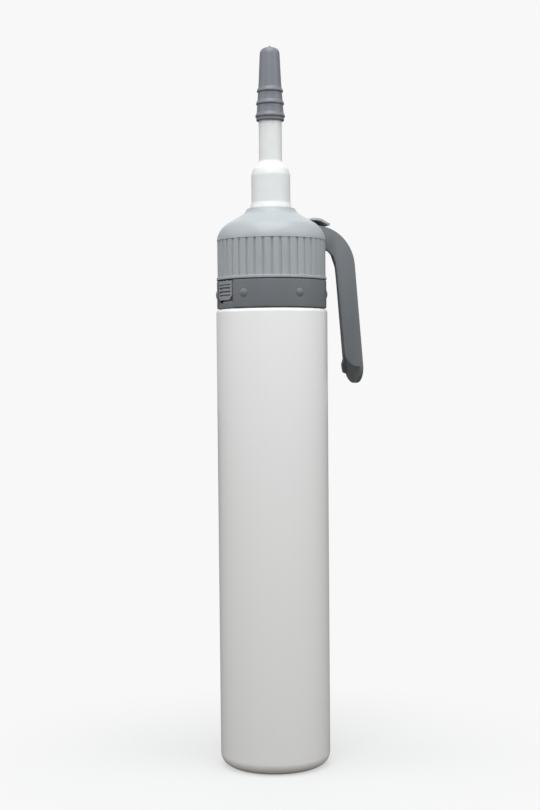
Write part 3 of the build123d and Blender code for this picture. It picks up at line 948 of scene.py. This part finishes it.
@dataclass
class LockSlider:
    """The ridged slide whose teeth catch the dome's rim."""

    plastic: bpy.types.Material
    half: float = 5.5
    ring_radius: float = 22.15
    thickness: float = 1.6
    front_step: float = 0.1
    chamfer: float = 1.6
    tooth_count: int = 4
    tooth_depth: float = 1.0
    tooth_half: float = 0.75
    flange: float = 1.4
    flange_thickness: float = 0.4
    frame_width: float = 0.8
    well_depth: float = 0.75
    ridge_count: int = 4
    ridge_height: float = 0.85
    ridge_pitch: float = 1.5

    def plate(self, half: float, low: float, high: float) -> bpy.types.Object:
        """The flat plate with cut corners and its row of teeth.

        Args:
            half: half of its width.
            low: its lowest level.
            high: its highest level.

        Returns:
            The plate, still flat.
        """
        pitch = 2 * half / self.tooth_count
        corners = [
            (-half + self.chamfer, low, 0.4),
            (half - self.chamfer, low, 0.4),
            (half, low + self.chamfer, 0.4),
            (half, high, 0.15),
        ]
        for index in reversed(range(self.tooth_count)):
            place = (index - (self.tooth_count - 1) / 2) * pitch
            corners += [
                (place + self.tooth_half, high, 0.12),
                (place, high - self.tooth_depth, 0.15),
                (place - self.tooth_half, high, 0.12),
            ]
        corners += [(-half, high, 0.15), (-half, low + self.chamfer, 0.4)]
        front = self.ring_radius - self.front_step
        plate = prism("slider", rounded(corners, 4), front - self.thickness, front)
        well = rounded([
            (-half + self.frame_width, low + self.chamfer, 0.3),
            (half - self.frame_width, low + self.chamfer, 0.3),
            (half - self.frame_width, high - 1.5, 0.3),
            (-half + self.frame_width, high - 1.5, 0.3),
        ], 4)
        return combined(plate, prism("well", well, front - self.well_depth, front + 1), "DIFFERENCE")

    def ridges(self, half: float, low: float) -> bpy.types.Object:
        """The finger ridges, laid out along Z by a rule.

        Args:
            half: half of the plate's width.
            low: the plate's lowest level.

        Returns:
            The ridges, as one piece.
        """
        rule = ShapeRule("RidgeLadder")
        count = rule.size("Count", "NodeSocketInt")
        first = rule.size("First")
        pitch = rule.size("Pitch")
        begin = rule.add("ShaderNodeCombineXYZ", {"Z": first}).outputs[0]
        step = rule.add("ShaderNodeCombineXYZ", {"Z": pitch}).outputs[0]
        sockets = {"Count": count, "Start Location": begin, "Offset": step}
        line = rule.add("GeometryNodeMeshLine", sockets, mode="OFFSET")
        sockets = {"Points": line.outputs[0], "Instance": rule.start.outputs[0]}
        rule.close(rule.add("GeometryNodeInstanceOnPoints", sockets).outputs[0])
        front = self.ring_radius - self.front_step
        rise = self.ridge_height / 2
        back = front - self.thickness / 2
        section = rounded([(back, -rise), (front, -rise, 0.3), (front, rise, 0.3), (back, rise)], 5)
        bar = prism("ridge", section, -half + 0.4, half - 0.4)
        bar.data.transform(Matrix.Rotation(pi / 2, 4, "Z"))
        return rule.apply(
            bar, Count=self.ridge_count, First=(low + self.chamfer + 0.75) * MM, Pitch=self.ridge_pitch * MM,
            Material=self.plastic,
        )

    def wrapped(self, piece: bpy.types.Object) -> bpy.types.Object:
        """Bends the flat plate round the ring, at the window's place."""
        for vert in piece.data.vertices:
            angle = vert.co.x / (self.ring_radius * MM) - radians(CollarRing.slider_angle)
            vert.co.x, vert.co.y = -vert.co.y * cos(angle), vert.co.y * sin(angle)
        return piece

    def build(self) -> bpy.types.Object:
        """Returns the finished slider.

        Returns:
            The finished slider.
        """
        low, high = box_mm("lock_slider")
        slider = combined(self.plate(self.half, low.z, high.z), self.ridges(self.half, low.z), "UNION")
        inner = self.ring_radius - self.front_step - self.thickness
        wing = self.half + self.flange
        back = block("back", (-wing, wing), (inner, inner + self.flange_thickness), (low.z, high.z - 1.4))
        slider = self.wrapped(sliced(combined(slider, back, "UNION"), 0.9))
        return dressed(slider, self.plastic, Slot.SLIDER_GREY, Body.SLIDER, "lock_slider")


# Dome -----------------------------------------------------------------------------------------


@dataclass
class RibbedDome:
    """The ribbed cap that turns on the collar and carries the lever."""

    plastic: bpy.types.Material
    rim_radius: float = 22.25
    rim_height: float = 1.2
    rib_radius: float = 22.0
    rib_count: int = 40
    rib_top: float = 15.4
    groove_radius: float = 0.55
    groove_depth: float = 0.7
    steps_per_rib: int = 12
    wall: float = 1.35
    inner_radius: float = 20.05
    side_height: float = 20.5
    shoulder_angle: float = 29.5
    shoulder_round: float = 9.0
    neck_radius: float = 9.2
    neck_sweep: float = 6.0
    sleeve_radius: float = 8.8
    sleeve_wall: float = 1.3
    sleeve_length: float = 7.4
    slot_half: float = 7.9
    sill_rise: float = 5.23
    hood_thickness: float = 0.95
    hood_rise: float = 4.3
    hood_reach: float = 23.0
    hood_root: float = 15.5
    ear_gap: tuple = (8.4, 10.9)
    ear_half: float = 3.0
    trunnion_radius: float = 1.6

    def surface(self, radius: float) -> float:
        """Height of the straight shoulder above the rim's foot at a radius."""
        return self.side_height + (self.rib_radius - radius) * tan(radians(self.shoulder_angle))

    def shell(self, low: float, high: float) -> bpy.types.Object:
        """The turned shell, with rows close together where the grooves end.

        Args:
            low: the rim's foot level.
            high: the neck's top level.

        Returns:
            The shell, still without grooves.
        """
        drop = self.wall / cos(radians(self.shoulder_angle))
        sleeve_out = self.sleeve_radius + self.sleeve_wall
        inner_round = self.shoulder_round - self.wall
        neck_z = low + self.surface(self.neck_radius)
        outer = rounded([
            (self.inner_radius, low),
            (self.rim_radius, low, 0.3),
            (self.rim_radius, low + self.rim_height, 0.25),
            (self.rib_radius, low + self.rim_height),
            (self.rib_radius, low + self.side_height, self.shoulder_round),
            (self.neck_radius, neck_z, self.neck_sweep),
            (self.neck_radius, neck_z + 8),
            (self.sleeve_radius, neck_z + 8),
            (self.sleeve_radius, high - self.sleeve_length, 0.2),
            (sleeve_out, high - self.sleeve_length, 0.2),
            (sleeve_out, low + self.surface(sleeve_out) - drop, 0.8),
            (self.inner_radius, low + self.surface(self.inner_radius) - drop, inner_round),
        ], 16)
        outline = refined(below(outer, high), low + self.rim_height, low + self.rib_top - 1.0, 2.4)
        outline = refined(outline, low + self.rib_top - 1.0, low + self.rib_top + 1.2, 0.22)
        return lathe("dome", outline, self.rib_count * self.steps_per_rib)

    def grooves(self, piece: bpy.types.Object, low: float) -> bpy.types.Object:
        """Sinks the upright grooves into the shell's outer wall by a rule.

        Args:
            piece: the turned shell.
            low: its foot level.

        Returns:
            The same piece, with ribs.
        """
        rule = ShapeRule("RibGrooves")
        count, wall = rule.size("Rib Count"), rule.size("Wall Radius")
        radius, depth = rule.size("Groove Radius"), rule.size("Groove Depth")
        foot, top = rule.size("Foot Level"), rule.size("Top Level")
        here = rule.add("GeometryNodeInputPosition").outputs[0]
        x, y, z = rule.add("ShaderNodeSeparateXYZ", {"Vector": here}).outputs
        share = rule.maths("MULTIPLY", rule.maths("ARCTAN2", y, x), rule.maths("DIVIDE", count, 2 * pi))
        off_centre = rule.maths("SUBTRACT", rule.maths("FRACT", share), 0.5)
        pitch = rule.maths("DIVIDE", rule.maths("MULTIPLY", wall, 2 * pi), count)
        arc = rule.maths("MULTIPLY", off_centre, pitch)
        above = rule.maths("MAXIMUM", rule.maths("SUBTRACT", z, top), 0.0)
        away = rule.maths("ADD", rule.maths("MULTIPLY", arc, arc), rule.maths("MULTIPLY", above, above))
        left = rule.maths("SUBTRACT", rule.maths("MULTIPLY", radius, radius), away)
        cutter = rule.maths("SQRT", rule.maths("MAXIMUM", left, 0.0))
        lift = rule.maths("SUBTRACT", radius, depth)
        sink = rule.maths("MAXIMUM", rule.maths("SUBTRACT", cutter, lift), 0.0)
        flat = rule.add("ShaderNodeCombineXYZ", {"X": x, "Y": y}).outputs[0]
        reach = rule.add("ShaderNodeVectorMath", {0: flat}, operation="LENGTH").outputs["Value"]
        inward = rule.maths("MULTIPLY", rule.maths("DIVIDE", sink, reach), -1.0)
        offset = rule.add("ShaderNodeVectorMath", {0: flat, "Scale": inward}, operation="SCALE").outputs[0]
        outside = rule.maths("COMPARE", reach, wall, 0.03 * MM)
        higher = rule.maths("GREATER_THAN", z, foot)
        chosen = rule.maths("MULTIPLY", outside, higher)
        sockets = {"Geometry": rule.start.outputs[0], "Selection": chosen, "Offset": offset}
        rule.close(rule.add("GeometryNodeSetPosition", sockets).outputs[0])
        return rule.apply(
            piece, Rib_Count=float(self.rib_count), Wall_Radius=self.rib_radius * MM,
            Groove_Radius=self.groove_radius * MM, Groove_Depth=self.groove_depth * MM,
            Foot_Level=(low + self.rim_height - 0.01) * MM, Top_Level=(low + self.rib_top) * MM,
            Material=self.plastic,
        )

    def hood(self, bend: float) -> bpy.types.Object:
        """The thin visor over the lever's slot, arched and turned down at its end.

        Args:
            bend: the level of the lever's bend in millimetres.

        Returns:
            The visor.
        """
        crown = bend + self.hood_rise
        root = self.sleeve_radius + self.sleeve_wall + 2.5
        tip = self.hood_reach
        side = rounded([
            (root, crown - 0.9),
            (root + 2.0, crown - 1.0),
            (tip - 5.0, crown - self.hood_thickness, 5.0),
            (tip - 1.9, crown - 2.45, 1.0),
            (tip - 0.8, crown - 2.95),
            (tip, crown - 2.1, 0.25),
            (tip - 1.8, crown - 1.35, 2.0),
            (tip - 4.4, crown, 4.0),
            (root + 2.4, crown + 0.1, 2.0),
            (root, crown - 0.6),
        ], 8)
        return softened(prism("hood", side, -self.slot_half, self.slot_half), 0.15)

    def ear(self, side: int, low: float, pivot: Vector) -> bpy.types.Object:
        """One hanger with the snap-in hole for a trunnion.

        Args:
            side: 1 or -1, for its side of the lever.
            low: the dome's foot level.
            pivot: a point on the lever's axis.

        Returns:
            The hanger, cut to the dome's inside.
        """
        near, far = (gap * side for gap in self.ear_gap)
        y = (min(near, far), max(near, far))
        x = (pivot.x - self.ear_half, pivot.x + self.ear_half)
        ear = block("ear", x, y, (pivot.z - 2.7, low + self.surface(self.neck_radius)))
        ear = combined(ear, pin("hole", self.trunnion_radius, pivot.x, pivot.z, 20), "DIFFERENCE")
        half = self.trunnion_radius * 0.8
        mouth = block("mouth", (pivot.x - half, pivot.x + half), (-20, 20), (pivot.z - 4, pivot.z))
        ear = combined(ear, mouth, "DIFFERENCE")
        roof = low + self.surface(self.neck_radius) - 0.8
        inside = rounded([
            (0, low), (self.rib_radius - 0.8, low),
            (self.rib_radius - 0.8, low + self.side_height - 0.4, self.shoulder_round),
            (self.neck_radius, roof), (0, roof),
        ], 16)
        return combined(ear, lathe("inside", inside, 96), "INTERSECT")

    def build(self) -> bpy.types.Object:
        """Returns the finished dome.

        Returns:
            The finished dome.
        """
        low, high = (corner.z for corner in box_mm("ribbed_dome"))
        pivot = joint_point("lever_squeeze")
        bend = low + SqueezeLever.bend_rise
        dome = self.grooves(self.shell(low, high), low)
        inner = self.sleeve_radius + self.sleeve_wall + 0.4
        sill = low + self.sill_rise
        top = bend + self.hood_rise - self.hood_thickness + 0.15
        slot = prism("slot", rounded([
            (inner, sill),
            (self.rim_radius + 5, sill),
            (self.rim_radius + 5, top),
            (self.hood_root - 0.8, top, 0.4),
            (self.hood_root - 0.8, bend + 1.2, 0.4),
            (inner, bend + 1.2),
        ], 4), -self.slot_half, self.slot_half)
        dome = combined(dome, slot, "DIFFERENCE")
        dome = combined(dome, self.hood(bend), "UNION")
        for side in (-1, 1):
            dome = combined(dome, self.ear(side, low, pivot), "UNION")
        return dressed(dome, self.plastic, Slot.LIGHT_GREY, Body.DOME, "ribbed_dome", crease=34.0)


# Lever ----------------------------------------------------------------------------------------


@dataclass
class SqueezeLever:
    """The bent lever: web, deep near wall, low far wall and the yoke inside the dome."""

    plastic: bpy.types.Material
    pivot: Vector
    toe_z: float
    bend_z: float
    bend_rise: ClassVar[float] = 20.7
    half: float = 7.5
    wall: float = 1.6
    lean: float = 5.0
    bend_x: float = 32.7
    bend_round: float = 17.0
    side_stop: float = 6.8
    side_depth: float = 8.2
    far_lip: float = 0.4
    toe_lip: tuple = (1.3, 4.0, 8.0)
    far_stop: float = 48.0
    ramp_x: float = 15.5
    yoke_thickness: float = 2.6
    yoke_hole: float = 5.0
    pad_radius: float = 1.5
    boss_radius: float = 2.3
    trunnion: tuple = (1.5, 10.6)
    edge_round: float = 0.45

    def leg(self, z: float, depth: float) -> tuple:
        """A point on the leg at a level and a depth inside its outer face."""
        return (self.bend_x + (self.bend_z - z) * tan(radians(self.lean)) - depth, z)

    def arm(self, x: float, depth: float) -> tuple:
        """A point on the upper arm at a depth under its outer face."""
        return (x, self.bend_z + (self.bend_x - x) * tan(radians(self.lean)) - depth)

    def back(self, end: float) -> list:
        """The outer face's corners, from the yoke to an end level."""
        return [
            (8.6, self.pivot.z + self.yoke_thickness),
            (*self.arm(self.ramp_x, 0), 2.0),
            (self.bend_x, self.bend_z, self.bend_round),
            self.leg(end, 0),
        ]

    def web(self) -> bpy.types.Object:
        """The bent strip along the lever's back.

        Returns:
            The strip.
        """
        inner = self.bend_z - self.wall
        corners = [(7.0, self.pivot.z)] + self.back(self.toe_z) + [
            self.leg(self.toe_z, self.wall),
            (self.leg(inner, self.wall)[0], inner, self.bend_round - self.wall),
            (self.ramp_x + 0.6, self.arm(self.ramp_x, self.wall)[1], 1.0),
            (10.2, self.pivot.z),
        ]
        return prism("squeeze_lever", rounded(corners, 14), -self.half, self.half)

    def near_wall(self, end: float, under: float) -> bpy.types.Object:
        """The deep wall, rounded off above the toe.

        Args:
            end: the level where the wall ends.
            under: the level of the arm's underside.

        Returns:
            The wall.
        """
        corners = [(5.0, self.pivot.z)] + self.back(end) + [
            (*self.leg(end, self.side_depth - 0.6), 6.5),
            (*self.leg(under, self.side_depth + 0.6), 8.0),
            (10.0, under + 0.4),
        ]
        return prism("near_wall", rounded(corners, 14), -self.half, -self.half + self.wall)

    def far_wall(self, under: float) -> bpy.types.Object:
        """The other wall: deep at the root, then a low lip that grows at the toe.

        Args:
            under: the level of the arm's underside.

        Returns:
            The wall.
        """
        lip = self.wall + self.far_lip
        stand, start, stop = self.toe_lip
        root, low, high = self.toe_z + self.far_stop, self.toe_z + start, self.toe_z + stop
        corners = [(5.0, self.pivot.z)] + self.back(low) + [
            (*self.leg(low, self.wall + stand), 1.0),
            (*self.leg(high, self.wall + stand), 2.0),
            (*self.leg(high + 2.0, lip), 2.0),
            (*self.leg(root, lip), 10.0),
            (self.leg(under, lip)[0] - 2.0, under, 2.5),
            (10.0, under + 0.4),
        ]
        return prism("far_wall", rounded(corners, 14), self.half - self.wall, self.half)

    def yoke(self, lever: bpy.types.Object) -> bpy.types.Object:
        """Adds the plate round the stem, its pads and the trunnions.

        Args:
            lever: the web with its walls.

        Returns:
            The same piece.
        """
        x, z = self.pivot.x, self.pivot.z
        plate = block("plate", (x, 9.5), (-self.half, self.half), (z, z + self.yoke_thickness))
        lever = combined(lever, plate, "UNION")
        boss = (self.boss_radius, x, self.half + 0.5)
        trunnion = (self.trunnion[0], x, self.trunnion[1])
        pad = (self.pad_radius, 0, self.half)
        for radius, place, reach in (boss, trunnion, pad):
            lever = combined(lever, pin("pin", radius, place, z, reach), "UNION")
        hole = lathe("hole", [(0, z - 5), (self.yoke_hole, z - 5), (self.yoke_hole, z + 5), (0, z + 5)], 48)
        return combined(lever, hole, "DIFFERENCE")

    def round_toe(self, lever: bpy.types.Object) -> bpy.types.Object:
        """Rounds the toe off, seen from the side that the fingers meet.

        Args:
            lever: the lever.

        Returns:
            The same piece.
        """
        centre = self.toe_z + self.half
        rest = block("rest", (24, 46), (-20, 20), (self.toe_z - 5, centre))
        end = lathe("end", [(0, 10), (self.half, 10), (self.half, 60), (0, 60)], 96)
        end.data.transform(Matrix.Translation((0, 0, centre * MM)) @ Matrix.Rotation(pi / 2, 4, "Y"))
        return combined(lever, combined(rest, end, "DIFFERENCE"), "DIFFERENCE")

    def build(self) -> bpy.types.Object:
        """Returns the finished lever.

        Returns:
            The finished lever.
        """
        under = self.pivot.z - 1.9
        end = self.toe_z + self.side_stop
        lever = combined(self.web(), self.near_wall(end, under), "UNION")
        lever = combined(lever, self.far_wall(under), "UNION")
        lever = softened(self.round_toe(self.yoke(lever)), self.edge_round)
        return dressed(lever, self.plastic, Slot.DARK_GREY, Body.LEVER, "lever", crease=24.0)


# Nozzle and cap -------------------------------------------------------------------------------


@dataclass
class Nozzle:
    """The stepped nozzle on the stem's post."""

    plastic: bpy.types.Material
    foot_radius: float = 8.5
    foot_top: float = 9.5
    foot_wall: float = 1.3
    socket: tuple = (4.1, 6.5, 1.5)
    barrel_radius: float = 7.85
    barrel_height: float = 13.0
    barrel_chamfer: float = 0.7
    shoulder: float = 3.0
    wall: float = 1.3
    tube_radius: float = 4.65
    tip_length: float = 21.5
    tip_radius: float = 2.4
    tip_wall: float = 1.0
    inlet_radius: float = 2.7

    def build(self) -> bpy.types.Object:
        """Returns the finished nozzle.

        Returns:
            The finished nozzle.
        """
        low, high = (corner.z for corner in box_mm("nozzle"))
        socket, depth, socket_wall = self.socket
        post = low + depth
        foot = low + self.foot_top
        shoulder = foot + self.barrel_height
        tube = shoulder + 2.4 + self.shoulder
        tip = high - self.tip_length
        bore = self.barrel_radius - self.wall
        corners = [
            (socket, low),
            (socket + socket_wall, low),
            (socket + socket_wall, post + 0.5),
            (self.foot_radius - self.foot_wall, post + 0.5),
            (self.foot_radius - self.foot_wall, low),
            (self.foot_radius, low, 0.3),
            (self.foot_radius, foot, 0.8),
            (self.barrel_radius, foot + 2.0, 1.5),
            (self.barrel_radius, shoulder, 3.0),
            (self.barrel_radius - self.barrel_chamfer, shoulder + 2.4, 1.2),
            (self.tube_radius, tube, 1.6),
            (self.tube_radius, tip),
            (self.tube_radius - 0.4, tip + 0.5, 0.3),
            (self.tip_radius, high, 0.4),
            (self.tip_radius - self.tip_wall, high),
            (self.tube_radius - self.wall, tip),
            (self.tube_radius - self.wall, tube, 1.5),
            (bore, shoulder + 0.8, 2.0),
            (bore, post + 2.0, 1.0),
            (self.inlet_radius, post + 2.0),
            (self.inlet_radius, post),
            (socket, post),
        ]
        piece = lathe("nozzle_body", rounded(corners, 10), 112)
        return dressed(piece, self.plastic, Slot.WHITE, Body.STEM, "nozzle")


@dataclass
class TipCap:
    """The pull-off cap with three skirted grip beads and a moulding nib."""

    plastic: bpy.types.Material
    foot_radius: float = 5.65
    bead_taper: float = 1.0
    bead_zone: float = 14.0
    top_taper: float = 0.75
    top_round: float = 2.6
    bead_first: float = 1.9
    bead_pitch: float = 5.0
    bead_count: int = 3
    bead_stand: float = 0.5
    bead_drop: float = 0.55
    bead_slope: float = 1.35
    nib: tuple = (0.55, 0.8)
    gap: float = 0.3

    def radius(self, rise: float) -> float:
        """Radius of the taper among the beads, at a height above the foot."""
        return self.foot_radius - self.bead_taper * rise / self.bead_zone

    def build(self) -> bpy.types.Object:
        """Returns the finished cap.

        Returns:
            The finished cap.
        """
        low, high = (corner.z for corner in box_mm("tip_cap"))
        tip = box_mm("nozzle")[1].z
        nib_radius, nib_height = self.nib
        top = high - nib_height
        corners = [(Nozzle.tube_radius + self.gap, low), (self.foot_radius, low, 0.35)]
        for index in range(self.bead_count):
            rise = self.bead_first + index * self.bead_pitch
            wide = self.radius(rise) + self.bead_stand
            corners += [
                (self.radius(rise - self.bead_drop), low + rise - self.bead_drop, 0.15),
                (wide, low + rise - 0.35, 0.22),
                (wide - 0.06, low + rise + 0.25, 0.3),
                (self.radius(rise + self.bead_slope), low + rise + self.bead_slope, 0.9),
            ]
        waist = self.foot_radius - self.bead_taper
        corners += [
            (waist - 0.1, low + self.bead_zone + 1.0),
            (waist - self.top_taper, top, self.top_round),
            (nib_radius, top, 0.25),
            (nib_radius * 0.55, high, 0.2),
            (0, high),
            (0, tip + self.gap),
            (Nozzle.tip_radius + self.gap, tip + self.gap),
            (Nozzle.tube_radius - 0.4 + self.gap, low + 1.7),
            (Nozzle.tube_radius + self.gap, low + 1.2),
        ]
        piece = lathe("cap_body", rounded(corners, 9), 112)
        return dressed(piece, self.plastic, Slot.CAP_GREY, Body.CAP, "tip_cap", crease=40.0)


# Valve ----------------------------------------------------------------------------------------


@dataclass
class ValveParts:
    """The valve's inner pieces, which keep the model's own shapes."""

    finishes: dict

    def build(self) -> None:
        """Gives each inner node its finish."""
        for node, finish in self.finishes.items():
            piece = frame["nodes"][node]
            for place in piece.material_slots:
                place.material = finish.build()
            log.info("%s keeps its shape, in %s", node, finish.name)


# Studio ---------------------------------------------------------------------------------------


@dataclass
class Studio:
    """Soft lights, the camera and a floor that looks pale but throws little light back."""

    azimuth: float = -23.0
    distance: float = 0.580
    height: float = 0.1627
    pitch: float = 3.33
    roll: float = -0.5
    lens: float = 63.3
    shift: tuple = (-0.0038, 0.056)
    backdrop: float = 0.94
    ambient: float = 0.40
    floor_colour: tuple = (0.68, 0.68, 0.68)
    bounce_colour: tuple = (0.20, 0.18, 0.16)
    lamp_colour: tuple = (0.965, 0.985, 1.0)
    floor_radius: float = 6.0

    def direction(self, azimuth: float) -> Vector:
        """A level unit vector from the object towards an azimuth."""
        return Vector((sin(radians(azimuth)), -cos(radians(azimuth)), 0))

    def camera(self) -> None:
        """Makes the scene's camera."""
        lens = bpy.data.cameras.new("Camera")
        lens.lens = self.lens
        lens.sensor_width = 36
        lens.shift_x, lens.shift_y = self.shift
        lens.dof.use_dof = False
        lens.clip_start, lens.clip_end = 0.01, 50
        camera = bpy.data.objects.new("Camera", lens)
        bpy.context.scene.collection.objects.link(camera)
        side = self.direction(self.azimuth)
        camera.location = side * self.distance + Vector((0, 0, self.height))
        sight = -side * cos(radians(self.pitch)) - Vector((0, 0, sin(radians(self.pitch))))
        turn = Quaternion((0, 0, 1), radians(self.roll))
        camera.rotation_mode = "QUATERNION"
        camera.rotation_quaternion = sight.to_track_quat("-Z", "Y") @ turn
        bpy.context.scene.camera = camera

    def light(self, name: str, azimuth: float, reach: float, height: float, size: float, watts: float,
              aim: float = 0.17) -> None:
        """Adds a soft light that faces the object.

        Args:
            name: the light's name.
            azimuth: its side of the object, in degrees.
            reach: its distance from the axis in metres.
            height: its height in metres.
            size: its side in metres.
            watts: its power.
            aim: the level that it faces, in metres.
        """
        lamp = bpy.data.lights.new(name, "AREA")
        lamp.size = size
        lamp.energy = watts
        lamp.color = self.lamp_colour
        holder = bpy.data.objects.new(name, lamp)
        holder.location = self.direction(azimuth) * reach + Vector((0, 0, height))
        holder.rotation_mode = "QUATERNION"
        holder.rotation_quaternion = (Vector((0, 0, aim)) - holder.location).to_track_quat("-Z", "Y")
        bpy.context.scene.collection.objects.link(holder)

    def world(self) -> None:
        """Makes the plain surround: bright to look at, dimmer as light."""
        world = bpy.data.worlds.new("Surround")
        world.use_nodes = True
        bpy.context.scene.world = world
        book = NodeBook(world.node_tree)
        sky = world.node_tree.nodes["Background"]
        seen = book.add("ShaderNodeLightPath").outputs["Is Camera Ray"]
        sockets = {"Value": seen, "To Min": self.ambient, "To Max": self.backdrop}
        strength = book.add("ShaderNodeMapRange", sockets).outputs["Result"]
        sky.inputs["Color"].default_value = (1, 1, 1, 1)
        world.node_tree.links.new(strength, sky.inputs["Strength"])

    def floor(self) -> None:
        """Makes the pale floor, which fades into the surround far away."""
        mesh = bpy.data.meshes.new("floor")
        side = self.floor_radius
        corners = [(-side, -side, 0), (side, -side, 0), (side, side, 0), (-side, side, 0)]
        mesh.from_pydata(corners, [], [(0, 1, 2, 3)])
        floor = bpy.data.objects.new("floor", mesh)
        bpy.context.scene.collection.objects.link(floor)
        material = bpy.data.materials.new("studio_floor")
        material.use_nodes = True
        book = NodeBook(material.node_tree)
        shader = material.node_tree.nodes["Principled BSDF"]
        shader.inputs["Base Color"].default_value = (*self.floor_colour, 1)
        shader.inputs["Roughness"].default_value = 0.9
        shader.inputs["Specular IOR Level"].default_value = 0.1
        far = book.add("ShaderNodeEmission", {"Color": (1, 1, 1, 1), "Strength": self.backdrop})
        place = book.add("ShaderNodeTexCoord").outputs["Object"]
        reach = book.add("ShaderNodeVectorMath", {0: place}, operation="LENGTH").outputs["Value"]
        sockets = {"Value": reach, "From Min": 0.03, "From Max": 0.16, "To Min": 0.55}
        share = book.add("ShaderNodeMapRange", sockets, interpolation_type="SMOOTHSTEP").outputs["Result"]
        seen = book.add("ShaderNodeMixShader", {0: share, 1: shader.outputs[0], 2: far.outputs[0]})
        bounce = book.add("ShaderNodeBsdfDiffuse", {"Color": (*self.bounce_colour, 1)})
        camera = book.add("ShaderNodeLightPath").outputs["Is Camera Ray"]
        mix = book.add("ShaderNodeMixShader", {0: camera, 1: bounce.outputs[0], 2: seen.outputs[0]})
        book.tree.links.new(mix.outputs[0], material.node_tree.nodes["Material Output"].inputs["Surface"])
        mesh.materials.append(material)

    def build(self) -> None:
        """Makes the whole studio."""
        bpy.context.scene.view_settings.view_transform = "Standard"
        self.floor()
        self.world()
        self.light("Top", self.azimuth, 0.16, 0.78, 0.5, 2.8)
        self.light("Key", self.azimuth - 8, 0.58, 0.72, 0.5, 2.6)
        self.light("Fill", self.azimuth + 62, 0.7, 0.6, 0.6, 2.3)
        self.light("SideFill", self.azimuth - 75, 0.8, 0.6, 0.6, 2.0)
        self.light("Back", self.azimuth + 180, 0.9, 0.8, 0.8, 1.5)
        self.camera()


def main() -> None:
    """Builds the object's pieces in order, then the studio."""
    logging.basicConfig(level=logging.INFO, format="%(name)s: %(message)s")
    dark = MouldedPlastic("dark_grey_moulding", (0.150, 0.163, 0.176)).build()
    CanBody(CanLacquer("white_can_lacquer").build()).build()
    CollarRing(dark).build()
    LockSlider(MouldedPlastic("slider_moulding", (0.27, 0.275, 0.295)).build()).build()
    RibbedDome(MouldedPlastic("light_grey_moulding", (0.37, 0.395, 0.41), 0.38).build()).build()
    bend = box_mm("ribbed_dome")[0].z + SqueezeLever.bend_rise
    SqueezeLever(dark, joint_point("lever_squeeze"), box_mm("lever")[0].z, bend).build()
    Nozzle(MouldedPlastic("white_moulding", (0.73, 0.745, 0.74), 0.42, translucence=0.1).build()).build()
    TipCap(MouldedPlastic("cap_moulding", (0.165, 0.173, 0.198), 0.4).build()).build()
    ValveParts({
        "cup_gasket": Rubber("gasket_black"),
        "stem_seal": Rubber("seal_black"),
        "valve_cup": BareMetal("cup_tinplate_bright", (0.72, 0.71, 0.69), 0.25, (1, 1, 1)),
        "valve_housing": MouldedPlastic("housing_moulding", (0.75, 0.74, 0.70)),
        "valve_spring": BareMetal("spring_wire", (0.55, 0.55, 0.56), 0.22, (1, 1, 8)),
        "valve_stem": MouldedPlastic("stem_moulding", (0.78, 0.78, 0.76)),
    }).build()
    Studio().build()


if __name__ == "__main__":
    main()
